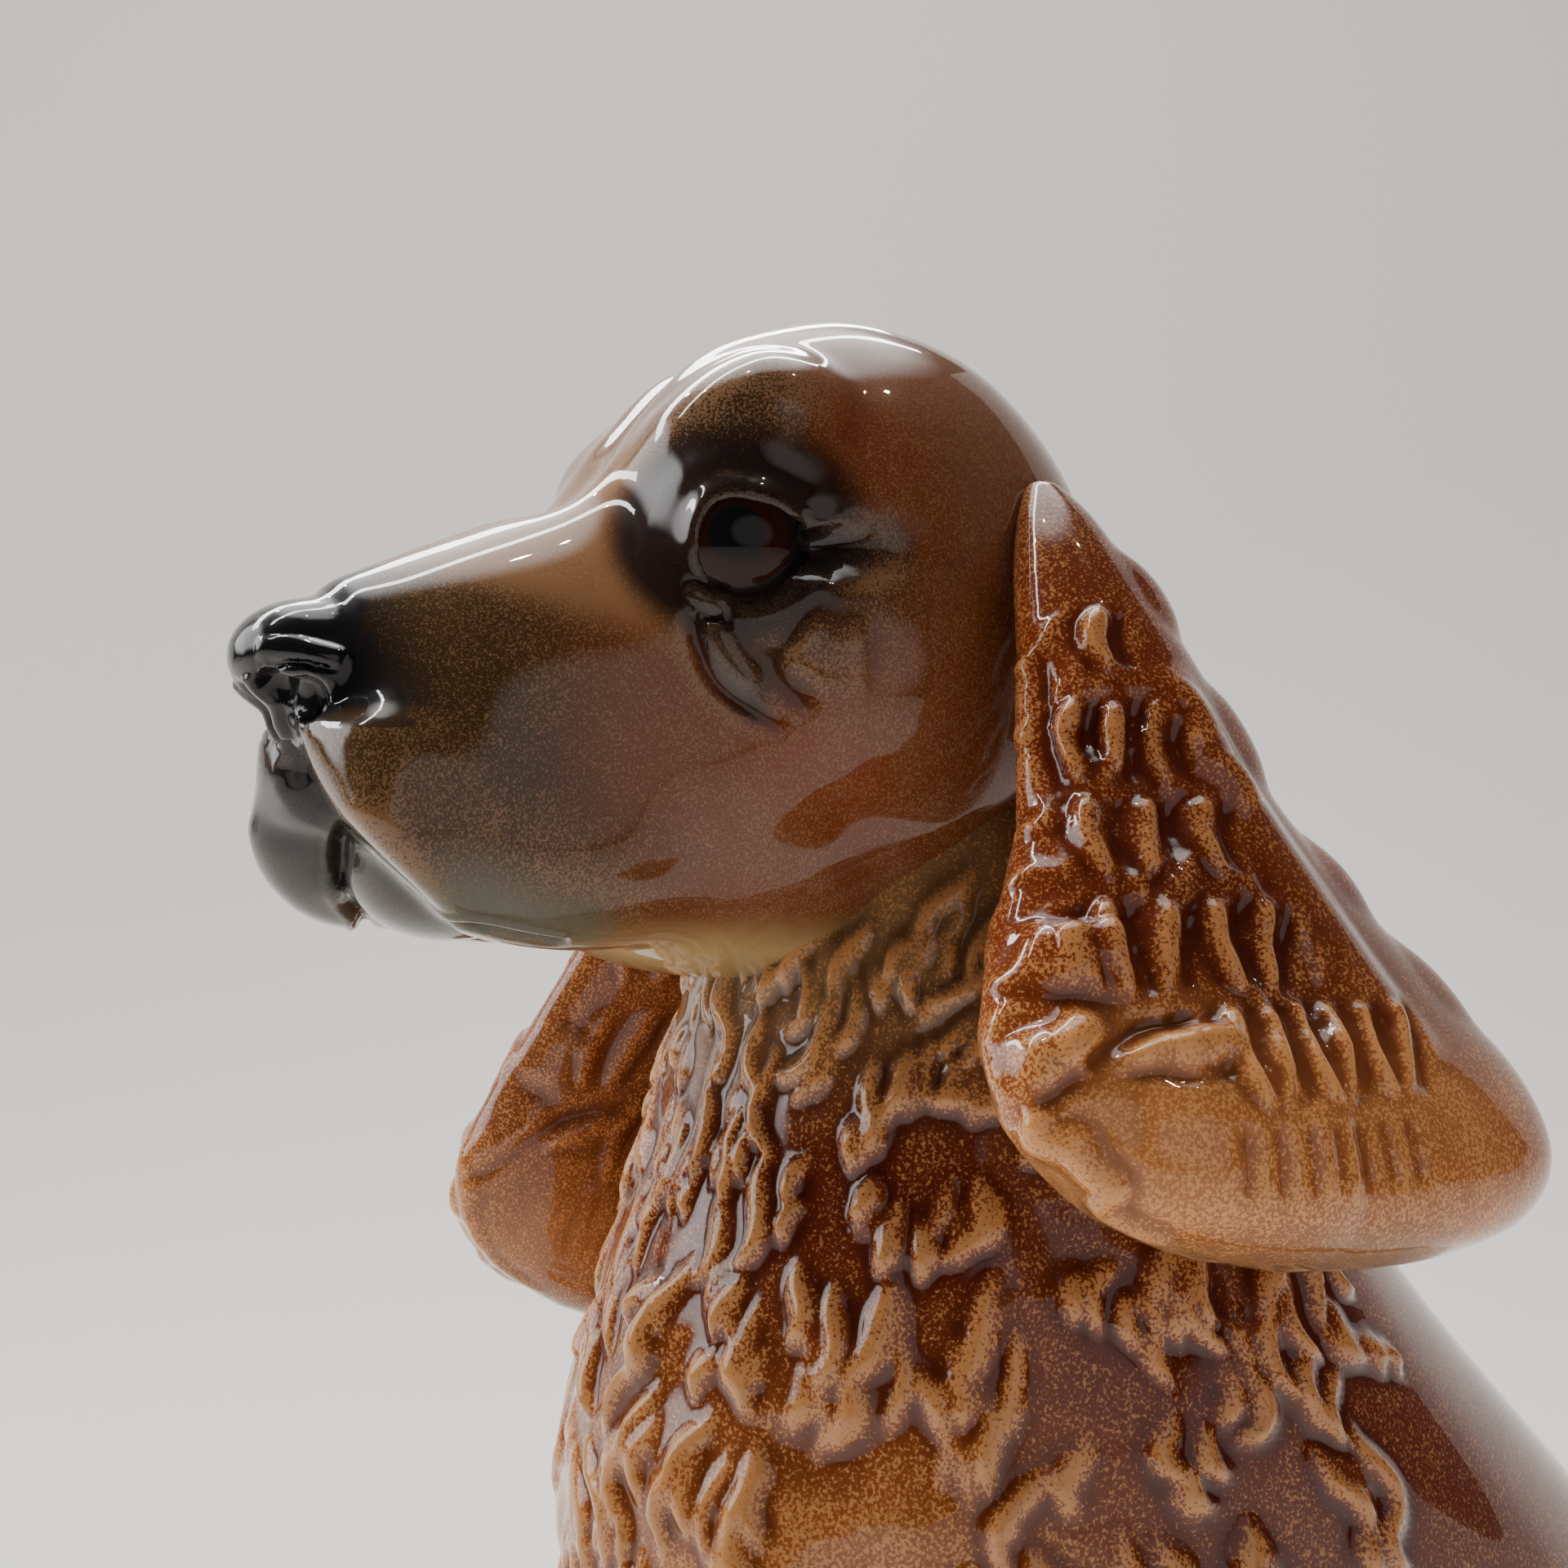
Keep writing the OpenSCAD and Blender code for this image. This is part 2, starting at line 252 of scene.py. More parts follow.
def ball(centre, radii, turn=(0, 0, 0)):
    """A clay ball squeezed to three radii."""
    deselect()
    bpy.ops.mesh.primitive_uv_sphere_add(segments=48, ring_count=32, radius=1)
    obj = bpy.context.object
    obj.scale = Vector(radii) * MM
    obj.rotation_euler = [math.radians(a) for a in turn]
    obj.location = Vector(centre) * MM
    bpy.ops.object.transform_apply(location=True, rotation=True, scale=True)
    return obj


def tube(name, path, radii, sides=24, square=(0.13, 0.97, 0.21)):
    """A roll of clay of changing thickness along a path; square is a direction the path never takes."""
    path = np.asarray(path, float)
    tangent = np.gradient(path, axis=0)
    tangent /= np.linalg.norm(tangent, axis=1)[:, None]
    side = np.cross(tangent, square)
    side /= np.linalg.norm(side, axis=1)[:, None]
    up = np.cross(side, tangent)
    angles = np.linspace(0, 2 * math.pi, sides, endpoint=False)
    rings = []
    for centre, a, b, r in zip(path, side, up, radii):
        rings.append(centre + r * (np.cos(angles)[:, None] * a + np.sin(angles)[:, None] * b))
    return loft(name, rings)


def limb(path, side, count=28):
    """A round-ended roll through rows of place and thickness, mirrored for the right side."""
    rows = spline(path, count) * (side, 1, 1, 1)
    parts = [tube("limb", rows[:, :3], rows[:, 3], square=(1, 0, 0))]
    for *place, radius in (rows[0], rows[-1]):
        parts.append(ball(place, (radius, radius, radius)))
    return parts


def join(name, parts):
    activate(parts[0])
    for part in parts:
        part.select_set(True)
    bpy.ops.object.join()
    obj = bpy.context.object
    obj.name = name
    return obj


def subdivide(obj, levels):
    activate(obj)
    smoother = obj.modifiers.new("rounding", "SUBSURF")
    smoother.levels = smoother.render_levels = levels
    bpy.ops.object.modifier_apply(modifier="rounding")


# ---------------------------------------------------------------- the modelling stand

SOFT, ROUND, SHARP, LOCK = "soft", "round", "sharp", "lock"
PROFILES = {
    SOFT: lambda d: (1 - d * d) ** 2,
    ROUND: lambda d: (1 - d * d) ** 0.8,
    SHARP: lambda d: (1 - d) ** 1.7,
    # A raised lock with a shallow groove on each side of it
    LOCK: lambda d: (1 - 3.2 * d * d) * (1 - d * d) ** 1.3,
}


class Clay:
    """A piece on the modelling stand. Points are in millimetres while it is worked."""

    def __init__(self, obj):
        self.obj = obj
        self.read()

    def read(self):
        mesh = self.obj.data
        flat = np.empty(len(mesh.vertices) * 3, np.float32)
        mesh.vertices.foreach_get("co", flat)
        self.at = flat.reshape(-1, 3).astype(float) / MM
        edges = np.empty(len(mesh.edges) * 2, np.int32)
        mesh.edges.foreach_get("vertices", edges)
        self.edges = edges.reshape(-1, 2)
        self.valence = np.maximum(np.bincount(edges, minlength=len(self.at)), 1)
        self.settle()

    def settle(self):
        """Writes the points back and takes the new normals."""
        mesh = self.obj.data
        mesh.vertices.foreach_set("co", (self.at * MM).astype(np.float32).ravel())
        mesh.update()
        flat = np.empty(len(self.at) * 3, np.float32)
        mesh.vertex_normals.foreach_get("vector", flat)
        self.out = flat.reshape(-1, 3).astype(float)

    def remesh(self, size):
        self.settle()
        activate(self.obj)
        self.obj.data.remesh_voxel_size = size * MM
        bpy.ops.object.voxel_remesh()
        self.read()

    def refine(self, chosen):
        """Halves the spacing of the chosen points."""
        self.settle()
        activate(self.obj)
        bpy.ops.object.mode_set(mode="EDIT")
        bpy.ops.mesh.select_mode(type="VERT")
        bpy.ops.mesh.select_all(action="DESELECT")
        bpy.ops.object.mode_set(mode="OBJECT")
        self.obj.data.vertices.foreach_set("select", chosen)
        bpy.ops.object.mode_set(mode="EDIT")
        bpy.ops.mesh.subdivide(number_cuts=1, smoothness=0)
        bpy.ops.object.mode_set(mode="OBJECT")
        self.read()

    def near(self, path, radius):
        """Which points lie within a radius of a path."""
        chosen = np.zeros(len(self.at), bool)
        chosen[self.within(path, radius)[0]] = True
        return chosen

    def neighbours(self, values):
        """The mean of each point's neighbours."""
        values = values.reshape(len(self.at), -1)
        a, b = self.edges.T
        total = np.column_stack([
            np.bincount(a, column[b], len(self.at)) + np.bincount(b, column[a], len(self.at))
            for column in values.T])
        return total / self.valence[:, None]

    def relax(self, passes, amount=0.5, where=1.0):
        """Smooths the surface, only so far as the mask says."""
        share = np.broadcast_to(np.asarray(where, float), (len(self.at),))[:, None] * amount
        for _ in range(passes):
            self.at += share * (self.neighbours(self.at) - self.at)
        self.settle()

    def surface(self):
        """The present surface, for laying strokes on."""
        faces = [tuple(p.vertices) for p in self.obj.data.polygons]
        return BVHTree.FromPolygons([tuple(p) for p in self.at], faces)

    def within(self, path, radius):
        """Points within a radius of a path: which, how far (0 to 1), and how far along (0 to 1)."""
        path = np.asarray(path, float)
        radius = np.broadcast_to(np.asarray(radius, float), (len(path),))
        widest = radius.max()
        low, high = path.min(0) - widest, path.max(0) + widest
        near = np.flatnonzero(((self.at > low) & (self.at < high)).all(1))
        if not len(near):
            return near, np.empty(0), np.empty(0)
        start, step = path[:-1], path[1:] - path[:-1]
        length2 = np.maximum((step ** 2).sum(1), 1e-9)
        away = self.at[near][:, None, :] - start[None]
        t = np.clip((away * step).sum(2) / length2, 0, 1)
        distance = np.linalg.norm(away - t[..., None] * step, axis=2)
        best = distance.argmin(1)
        row = np.arange(len(near))
        along = best + t[row, best]
        reach = np.interp(along, np.arange(len(path)), radius)
        share = distance[row, best] / np.maximum(reach, 1e-6)
        inside = share < 1
        return near[inside], share[inside], along[inside] / max(len(path) - 1, 1)

    def stroke(self, path, radius, height, profile=SOFT, ends=0.0, facing=None):
        """Raises or sinks the surface along a path. ends is the share of the length that fades."""
        near, share, along = self.within(path, radius)
        if not len(near):
            return
        lift = height * PROFILES[profile](share)
        if ends:
            lift = lift * np.clip(np.minimum(along, 1 - along) / ends, 0, 1) ** 0.7
        if facing is not None:
            lift = lift * np.clip(self.out[near] @ np.asarray(facing, float) * 3, 0, 1)
        self.at[near] += self.out[near] * lift[:, None]

    def lock(self, path, radius, height, profile, facing=None):
        """A stroke that swells from its root and thins to its tip."""
        share = np.linspace(0, 1, len(path))
        taper = np.interp(share, (0, 0.25, 0.65, 1), (0.45, 1, 0.85, 0.35))
        self.stroke(path, radius * taper, height, profile, ends=0.16, facing=facing)

    def relief(self, spread=3, gain=6.0):
        """How far each point stands above its surroundings, from 0 in a groove to 1 on a ridge."""
        around = self.at
        for _ in range(spread):
            around = self.neighbours(around)
        height = ((self.at - around) * self.out).sum(1)
        height = self.neighbours(height)[:, 0]
        return np.clip(0.5 + gain * height, 0, 1)


def both(points):
    """A path and its mirror image."""
    points = np.asarray(points, float)
    return [points, points * (-1, 1, 1)]


def bead(points, count=14):
    """A smooth path through a few points."""
    return spline(points, count) if len(points) > 2 else np.linspace(points[0], points[-1], count)


def laid(tree, points, toward=None):
    """Points moved onto a surface: the nearest place, or the first place met going toward."""
    result = []
    for point in points:
        place = None
        if toward is not None:
            ray = Vector(toward).normalized()
            place = tree.ray_cast(Vector(point) - 80 * ray, ray)[0]
        result.append(place or tree.find_nearest(Vector(point))[0])
    return np.array(result)


# ---------------------------------------------------------------- airbrushing

class Spray:
    """The colours airbrushed onto a piece, with any painted highlight and painted shade, kept on its points.
    """

    def __init__(self, clay, colour, freckle):
        self.clay = clay
        self.paint = np.tile(np.asarray(colour, float), (len(clay.at), 1))
        self.freckle = np.full(len(clay.at), float(freckle))

    def cover(self, mask, colour, freckle=None):
        self.paint += mask[:, None] * (np.asarray(colour, float) - self.paint)
        if freckle is not None:
            self.freckle += mask * (freckle - self.freckle)

    def spot(self, path, radius, colour, strength=1.0, freckle=None, core=None):
        """A soft-edged spot along a path; with a core it is flat out to that share of its radius."""
        path = np.atleast_2d(np.asarray(path, float))
        if len(path) == 1:
            path = np.vstack([path, path + (0, 0, 0.01)])
        near, share, _ = self.clay.within(path, radius)
        mask = np.zeros(len(self.clay.at))
        mask[near] = strength * ((1 - share * share) ** 1.2 if core is None else smooth_step(1, core, share))
        self.cover(mask, colour, freckle)

    def keep(self, relief):
        mesh = self.clay.obj.data
        colour = mesh.color_attributes.new("airbrush", "FLOAT_COLOR", "POINT")
        rgba = np.column_stack([self.paint, np.ones(len(self.paint))])
        colour.data.foreach_set("color", rgba.astype(np.float32).ravel())
        for name, values in (("freckle", self.freckle), ("relief", relief)):
            mesh.attributes.new(name, "FLOAT", "POINT").data.foreach_set("value", values.astype(np.float32))


def smooth_step(low, high, values):
    t = np.clip((values - low) / (high - low), 0, 1)
    return t * t * (3 - 2 * t)


def bump(values, middle, width):
    """A smooth rise to 1 and back about a middle value."""
    return np.exp(-((values - middle) / width) ** 2)


# ---------------------------------------------------------------- glazes

def link(tree, source, target):
    tree.links.new(source, target)


def add_node(tree, kind, values=()):
    """A new shader node with the values of its inputs."""
    made = tree.nodes.new("ShaderNode" + kind)
    for name, value in dict(values).items():
        made.inputs[name].default_value = value
    return made


def speckle_group():
    """Fine clay-coloured grain that shows through thin colour, most of all on ridges."""
    if "Airbrushed Speckle" in bpy.data.node_groups:
        return bpy.data.node_groups["Airbrushed Speckle"]
    group = bpy.data.node_groups.new("Airbrushed Speckle", "ShaderNodeTree")
    face = group.interface
    for name, kind, value in (
            ("Paint", "NodeSocketColor", (0.2, 0.06, 0.02, 1)),
            ("Pale", "NodeSocketColor", (0.55, 0.27, 0.12, 1)),
            ("Freckle", "NodeSocketFloat", 0.5), ("Relief", "NodeSocketFloat", 0.5),
            ("Grain", "NodeSocketFloat", 2600.0), ("Pooling", "NodeSocketFloat", 0.5)):
        face.new_socket(name, in_out="INPUT", socket_type=kind).default_value = value
    face.new_socket("Color", in_out="OUTPUT", socket_type="NodeSocketColor")
    nodes = group.nodes
    enter, leave = nodes.new("NodeGroupInput"), nodes.new("NodeGroupOutput")
    place = nodes.new("ShaderNodeTexCoord")

    def noise(scale, detail, roughness):
        made = add_node(group, "TexNoise", {"Scale": scale, "Detail": detail, "Roughness": roughness})
        link(group, place.outputs["Object"], made.inputs["Vector"])
        return made

    def maths(operation, a, b):
        made = add_node(group, "Math")
        made.operation = operation
        for socket, value in zip(made.inputs, (a, b)):
            if isinstance(value, (int, float)):
                socket.default_value = value
            else:
                link(group, value, socket)
        return made.outputs[0]

    grain = noise(2600, 2.5, 0.62)
    link(group, enter.outputs["Grain"], grain.inputs["Scale"])
    cloud = noise(230, 2, 0.5)
    lean = maths("MULTIPLY", maths("SUBTRACT", enter.outputs["Relief"], 0.5), 0.36)
    drift = maths("MULTIPLY", maths("SUBTRACT", cloud.outputs["Fac"], 0.5), 0.16)
    level = maths("ADD", maths("ADD", grain.outputs["Fac"], lean), drift)
    shift = maths("ADD", level, maths("MULTIPLY", maths("SUBTRACT", enter.outputs["Freckle"], 0.5), 0.2))
    mask = add_node(group, "MapRange", {"From Min": 0.5, "From Max": 0.66})
    mask.interpolation_type = "SMOOTHSTEP"
    link(group, shift, mask.inputs["Value"])
    share = maths("MINIMUM", maths("MULTIPLY", enter.outputs["Freckle"], 1.6), 1.0)
    amount = maths("MULTIPLY", mask.outputs["Result"], share)
    # Colour pools in the grooves and deepens there
    deep = add_node(group, "MapRange", {"From Min": 0.15, "From Max": 0.55, "To Min": 1.0, "To Max": 0.0})
    link(group, enter.outputs["Relief"], deep.inputs["Value"])
    pooled = nodes.new("ShaderNodeMix")
    pooled.data_type = "RGBA"
    pooled.blend_type = "MULTIPLY"
    link(group, maths("MULTIPLY", deep.outputs["Result"], enter.outputs["Pooling"]), pooled.inputs["Factor"])
    link(group, enter.outputs["Paint"], pooled.inputs[6])
    pooled.inputs[7].default_value = (0.32, 0.2, 0.16, 1)
    blend = nodes.new("ShaderNodeMix")
    blend.data_type = "RGBA"
    link(group, amount, blend.inputs["Factor"])
    link(group, pooled.outputs[2], blend.inputs[6])
    link(group, enter.outputs["Pale"], blend.inputs[7])
    link(group, blend.outputs[2], leave.inputs["Color"])
    return group


def ripple_group():
    """The slow waviness of a thick glaze."""
    if "Glaze Ripple" in bpy.data.node_groups:
        return bpy.data.node_groups["Glaze Ripple"]
    group = bpy.data.node_groups.new("Glaze Ripple", "ShaderNodeTree")
    face = group.interface
    face.new_socket("Strength", in_out="INPUT", socket_type="NodeSocketFloat").default_value = 0.1
    face.new_socket("Normal", in_out="OUTPUT", socket_type="NodeSocketVector")
    nodes = group.nodes
    enter, leave = nodes.new("NodeGroupInput"), nodes.new("NodeGroupOutput")
    place = nodes.new("ShaderNodeTexCoord")
    wave = add_node(group, "TexNoise", {"Scale": 190, "Detail": 1.0})
    dent = add_node(group, "Bump", {"Distance": 0.0006})
    link(group, place.outputs["Object"], wave.inputs["Vector"])
    link(group, wave.outputs["Fac"], dent.inputs["Height"])
    link(group, enter.outputs["Strength"], dent.inputs["Strength"])
    link(group, dent.outputs["Normal"], leave.inputs["Normal"])
    return group


def glaze(name, pale, grain=2600.0, pooling=0.6, ripple=0.12, roughness=0.28, coat=1.0):
    """Airbrushed colour, with any painted highlight and painted shade, under a thick clear glaze."""
    material = bpy.data.materials.new(name)
    material.use_nodes = True
    tree = material.node_tree
    nodes = tree.nodes
    shader = nodes["Principled BSDF"]
    speckle = nodes.new("ShaderNodeGroup")
    speckle.node_tree = speckle_group()
    speckle.inputs["Pale"].default_value = (*pale, 1)
    speckle.inputs["Grain"].default_value = grain
    speckle.inputs["Pooling"].default_value = pooling
    for attribute, socket in (("airbrush", "Paint"), ("freckle", "Freckle"), ("relief", "Relief")):
        kept = nodes.new("ShaderNodeAttribute")
        kept.attribute_name = attribute
        link(tree, kept.outputs["Color" if attribute == "airbrush" else "Fac"], speckle.inputs[socket])
    wave = nodes.new("ShaderNodeGroup")
    wave.node_tree = ripple_group()
    wave.inputs["Strength"].default_value = ripple
    link(tree, speckle.outputs["Color"], shader.inputs["Base Color"])
    link(tree, wave.outputs["Normal"], shader.inputs["Normal"])
    for socket, value in (("Roughness", roughness), ("IOR", GLASS_IOR), ("Specular IOR Level", 0.05),
                          ("Coat Weight", coat), ("Coat Roughness", 0.02), ("Coat IOR", GLASS_IOR)):
        shader.inputs[socket].default_value = value
    return material


def body_glaze(colours):
    """The one glaze of the body, legs and tail."""
    name = "coat_glaze_body"
    made = bpy.data.materials.get(name)
    return made or glaze(name, tuple(colours.pale), grain=2900, pooling=0.7, ripple=0.05)


def bisque(name, colour):
    """Bare fired clay: matt, with a fine tooth and a few darker grains."""
    material = bpy.data.materials.new(name)
    material.use_nodes = True
    tree = material.node_tree
    nodes = tree.nodes
    shader = nodes["Principled BSDF"]
    place = nodes.new("ShaderNodeTexCoord")
    tooth = add_node(tree, "TexNoise", {"Scale": 1500, "Detail": 3})
    link(tree, place.outputs["Object"], tooth.inputs["Vector"])
    ramp = nodes.new("ShaderNodeValToRGB")
    ramp.color_ramp.elements[0].position = 0.3
    ramp.color_ramp.elements[0].color = (*[c * 0.7 for c in colour], 1)
    ramp.color_ramp.elements[1].position = 0.6
    ramp.color_ramp.elements[1].color = (*colour, 1)
    link(tree, tooth.outputs["Fac"], ramp.inputs["Fac"])
    link(tree, ramp.outputs["Color"], shader.inputs["Base Color"])
    dent = add_node(tree, "Bump", {"Strength": 0.3, "Distance": 0.0002})
    link(tree, tooth.outputs["Fac"], dent.inputs["Height"])
    link(tree, dent.outputs["Normal"], shader.inputs["Normal"])
    shader.inputs["Roughness"].default_value = 0.85
    return material


def finished(obj, material, nodes):
    """Gives a piece its glaze, and hands it to the frame in place of its castings."""
    obj.data.materials.clear()
    obj.data.materials.append(material)
    activate(obj)
    bpy.ops.object.shade_smooth()
    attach(obj, "root")
    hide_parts(*nodes)


# ---------------------------------------------------------------- locks of hair

def tangent_frame(normal):
    """Down along a surface, and to the right of that as seen from outside."""
    down = np.array((0.0, 0.0, -1.0)) - normal * -normal[2]
    down /= max(np.linalg.norm(down), 1e-6)
    return down, np.cross(normal, down)


def strand(tree, root, heading, length, curl, phase, steps=9):
    """A path over a surface from a root: heading is its turn from straight down, in degrees."""
    point = Vector(root)
    path = []
    for k in range(steps):
        place, normal, _, _ = tree.find_nearest(point)
        if place is None:
            break
        path.append(np.array(place))
        down, right = tangent_frame(np.array(normal))
        share = k / (steps - 1)
        angle = math.radians(heading + curl * math.sin(2 * math.pi * share * 0.8 + phase))
        step = (math.cos(angle) * down + math.sin(angle) * right) * length / (steps - 1)
        point = place + Vector(step)
    return np.array(path)


def comb(clay, locks):
    """Raises overlapping locks. Each lock is (path, half width, height)."""
    raised = np.zeros(len(clay.at))
    for path, width, height in locks:
        share_along = np.linspace(0, 1, len(path))
        taper = np.clip(share_along * 2.6 + 0.35, 0, 1) * np.clip((1 - share_along) * 2.4, 0.12, 1) ** 0.8
        near, share, along = clay.within(path, width * taper)
        if not len(near):
            continue
        rise = height * (0.45 + 0.55 * np.clip(along * 1.8, 0, 1)) * np.clip((1 - along) * 6, 0, 1) ** 0.5
        raised[near] = np.maximum(raised[near], rise * (1 - share ** 2) ** 1.15)
    clay.at += clay.out * raised[:, None]
    clay.settle()
    return raised


# ---------------------------------------------------------------- pieces

class GlazeColours(bpy.types.PropertyGroup):
    coat: bpy.props.FloatVectorProperty(
        name="Coat", description="Rust brown of the body and neck", subtype="COLOR", size=3,
        default=(0.17, 0.036, 0.009), min=0, max=1)
    mask: bpy.props.FloatVectorProperty(
        name="Face", description="Duller brown of the cheeks and skull", subtype="COLOR", size=3,
        default=(0.16, 0.046, 0.015), min=0, max=1)
    olive: bpy.props.FloatVectorProperty(
        name="Olive", description="Dark olive brown round the brows and along the muzzle", subtype="COLOR",
        size=3, default=(0.047, 0.032, 0.011), min=0, max=1)
    black: bpy.props.FloatVectorProperty(
        name="Black", description="Black of the nose, lips and pupils", subtype="COLOR", size=3,
        default=(0.006, 0.006, 0.007), min=0, max=1)
    cream: bpy.props.FloatVectorProperty(
        name="Cream", description="Pale olive cream under the jaw", subtype="COLOR", size=3,
        default=(0.42, 0.3, 0.12), min=0, max=1)
    gold: bpy.props.FloatVectorProperty(
        name="Gold", description="Golden orange on the ear lobes", subtype="COLOR", size=3,
        default=(0.72, 0.32, 0.11), min=0, max=1)
    pale: bpy.props.FloatVectorProperty(
        name="Speckle", description="Clay colour that shows through on the ridges", subtype="COLOR", size=3,
        default=(0.58, 0.26, 0.09), min=0, max=1)
    iris: bpy.props.FloatVectorProperty(
        name="Iris", description="Red brown of the iris", subtype="COLOR", size=3,
        default=(0.026, 0.006, 0.003), min=0, max=1)
    clay: bpy.props.FloatVectorProperty(
        name="Bare clay", description="Unglazed foot", subtype="COLOR", size=3,
        default=(0.72, 0.66, 0.56), min=0, max=1)


class ModellingSizes(bpy.types.PropertyGroup):
    face_grain: bpy.props.FloatProperty(
        name="Face mesh", description="Spacing of the points on the head", default=0.00062, min=0.0003,
        max=0.002, unit="LENGTH", precision=5)
    ear_grain: bpy.props.FloatProperty(
        name="Ear mesh", description="Spacing of the points on the ears", default=0.00048, min=0.0003,
        max=0.002, unit="LENGTH", precision=5)
    leg_grain: bpy.props.FloatProperty(
        name="Leg mesh", description="Spacing of the points on the legs and tail", default=0.0008, min=0.0004,
        max=0.003, unit="LENGTH", precision=5)
    lock_width: bpy.props.FloatProperty(
        name="Lock width", description="Half the width of a lock of the ruff", default=0.0017, min=0.001,
        max=0.004, unit="LENGTH", precision=4)
    lock_height: bpy.props.FloatProperty(
        name="Lock height", description="How far a lock of the ruff stands proud", default=0.0015, min=0.0002,
        max=0.003, unit="LENGTH", precision=4)
    eyeball: bpy.props.FloatProperty(
        name="Eyeball", description="Radius of an eyeball", default=0.0074, min=0.005, max=0.009,
        unit="LENGTH", precision=4)


def head_ring(station, angles):
    """One outline across the head, narrower at the top where the station leans."""
    place, bottom, top, half, roundness, lean = station
    high = (top - bottom) / 2
    flat = outline(half, high, roundness, angles)
    flat[:, 0] *= 1 - lean * flat[:, 1] / high
    return np.column_stack([flat[:, 0], np.full(len(flat), place), (top + bottom) / 2 + flat[:, 1]])


class SPANIEL_OT_head(bpy.types.Operator):
    """Models the head and nose: skull, brows, lids, cheeks, flews, chin and nostrils"""
    bl_idname = "spaniel.head"
    bl_label = "Head"

    def execute(self, context):
        colours = context.scene.spaniel_colours
        sizes = context.scene.spaniel_sizes
        clay = Clay(join("muzzle", self.blocks()))
        clay.remesh(HEAD_ROUGH)
        self.trim_flew(clay)
        x, y, z = clay.at.T
        clay.relax(70, 0.6, where=smooth_step(0.5, 3, x) * smooth_step(-95, -99, y) * bump(z, 208, 9))
        clay.relax(4)
        extra = [ball(*lump) for lump in NOSE_BALLS + [CHIN_BALL]]
        clay = Clay(join("head_sculpt", [clay.obj, *extra]))
        clay.remesh(HEAD_ROUGH)
        clay.relax(3)
        self.forms(clay)
        clay.relax(90, 0.6, where=self.flanks(clay))
        clay.relax(2)
        clay.remesh(sizes.face_grain / MM)
        clay.relax(2)
        lips = bead(LIP_EDGE, 40)
        close = clay.near(lips, 2.8) | clay.near(lips * (-1, 1, 1), 2.8)
        close |= (clay.at[:, 1] < -107) & (clay.at[:, 2] > 213.5)
        for side in (1, -1):
            close |= np.linalg.norm(clay.at - EYE_CENTRE * (side, 1, 1), axis=1) < 11.5
        clay.refine(close)
        clay.relax(1)
        self.lids(clay, sizes.eyeball / MM)
        self.mouth(clay)
        self.nostrils(clay)
        self.creases(clay)
        self.airbrush(clay, colours)
        nose = self.part_nose(clay)
        finished(clay.obj, glaze("coat_glaze_head", **HEAD_GLAZE), ["head"])
        finished(nose, glaze("nose_glaze", **NOSE_GLAZE), ["nose"])
        return {"FINISHED"}

    def part_nose(self, clay):
        """Takes the nose leather off as a piece of its own, and closes both pieces where they meet."""
        y, z = clay.at[:, 1], clay.at[:, 2]
        activate(clay.obj)
        bpy.ops.object.mode_set(mode="EDIT")
        bpy.ops.mesh.select_mode(type="VERT")
        bpy.ops.mesh.select_all(action="DESELECT")
        bpy.ops.object.mode_set(mode="OBJECT")
        clay.obj.data.vertices.foreach_set("select", (y + 0.3 * (z - 226) < -107.5) & (z > 217))
        bpy.ops.object.mode_set(mode="EDIT")
        bpy.ops.mesh.select_mode(type="FACE")
        bpy.ops.mesh.separate(type="SELECTED")
        bpy.ops.object.mode_set(mode="OBJECT")
        nose = next(obj for obj in bpy.context.selected_objects if obj != clay.obj)
        nose.name = "nose_sculpt"
        for piece in (clay.obj, nose):
            activate(piece)
            bpy.ops.object.mode_set(mode="EDIT")
            bpy.ops.mesh.select_mode(type="EDGE")
            bpy.ops.mesh.select_all(action="DESELECT")
            bpy.ops.mesh.select_non_manifold()
            bpy.ops.mesh.mark_sharp()
            bpy.ops.mesh.edge_face_add()
            bpy.ops.mesh.poke()
            bpy.ops.mesh.select_all(action="SELECT")
            bpy.ops.mesh.normals_make_consistent(inside=False)
            bpy.ops.object.mode_set(mode="OBJECT")
        return nose

    def blocks(self):
        """The lumps of clay the head is built up from."""
        angles = np.linspace(0, 2 * math.pi, 64, endpoint=False)
        blocks = [loft("skull", [head_ring(s, angles) for s in spline(HEAD_STATIONS, 56)])]
        lid = bpy.context.scene.spaniel_sizes.eyeball / MM + 1.0
        blocks += limb(NAPE_ROLL, 1, 16)
        roll = spline(FLEW_ROLL, 24)
        for side in (1, -1):
            blocks += [ball(np.array(centre) * (side, 1, 1), radii) for centre, radii in FLEW_BALLS]
            blocks.append(tube("flew", roll[:, :3] * (side, 1, 1), roll[:, 3]))
            blocks.append(ball(EYE_CENTRE * (side, 1, 1), (lid, lid, lid)))
        return blocks

    def trim_flew(self, clay):
        """Cuts the front of the left flew back to its slanting lip."""
        x, y, z = clay.at.T
        heights, fronts = np.array(LEFT_FLEW_FRONT, float).T
        limit = np.interp(z, heights, fronts) - 0.23 * np.maximum(x, 0)
        share = smooth_step(-1.5, 1.5, x) * smooth_step(219, 216, z)
        clay.at[:, 1] = y + np.maximum(limit - y, 0) * share
        clay.settle()

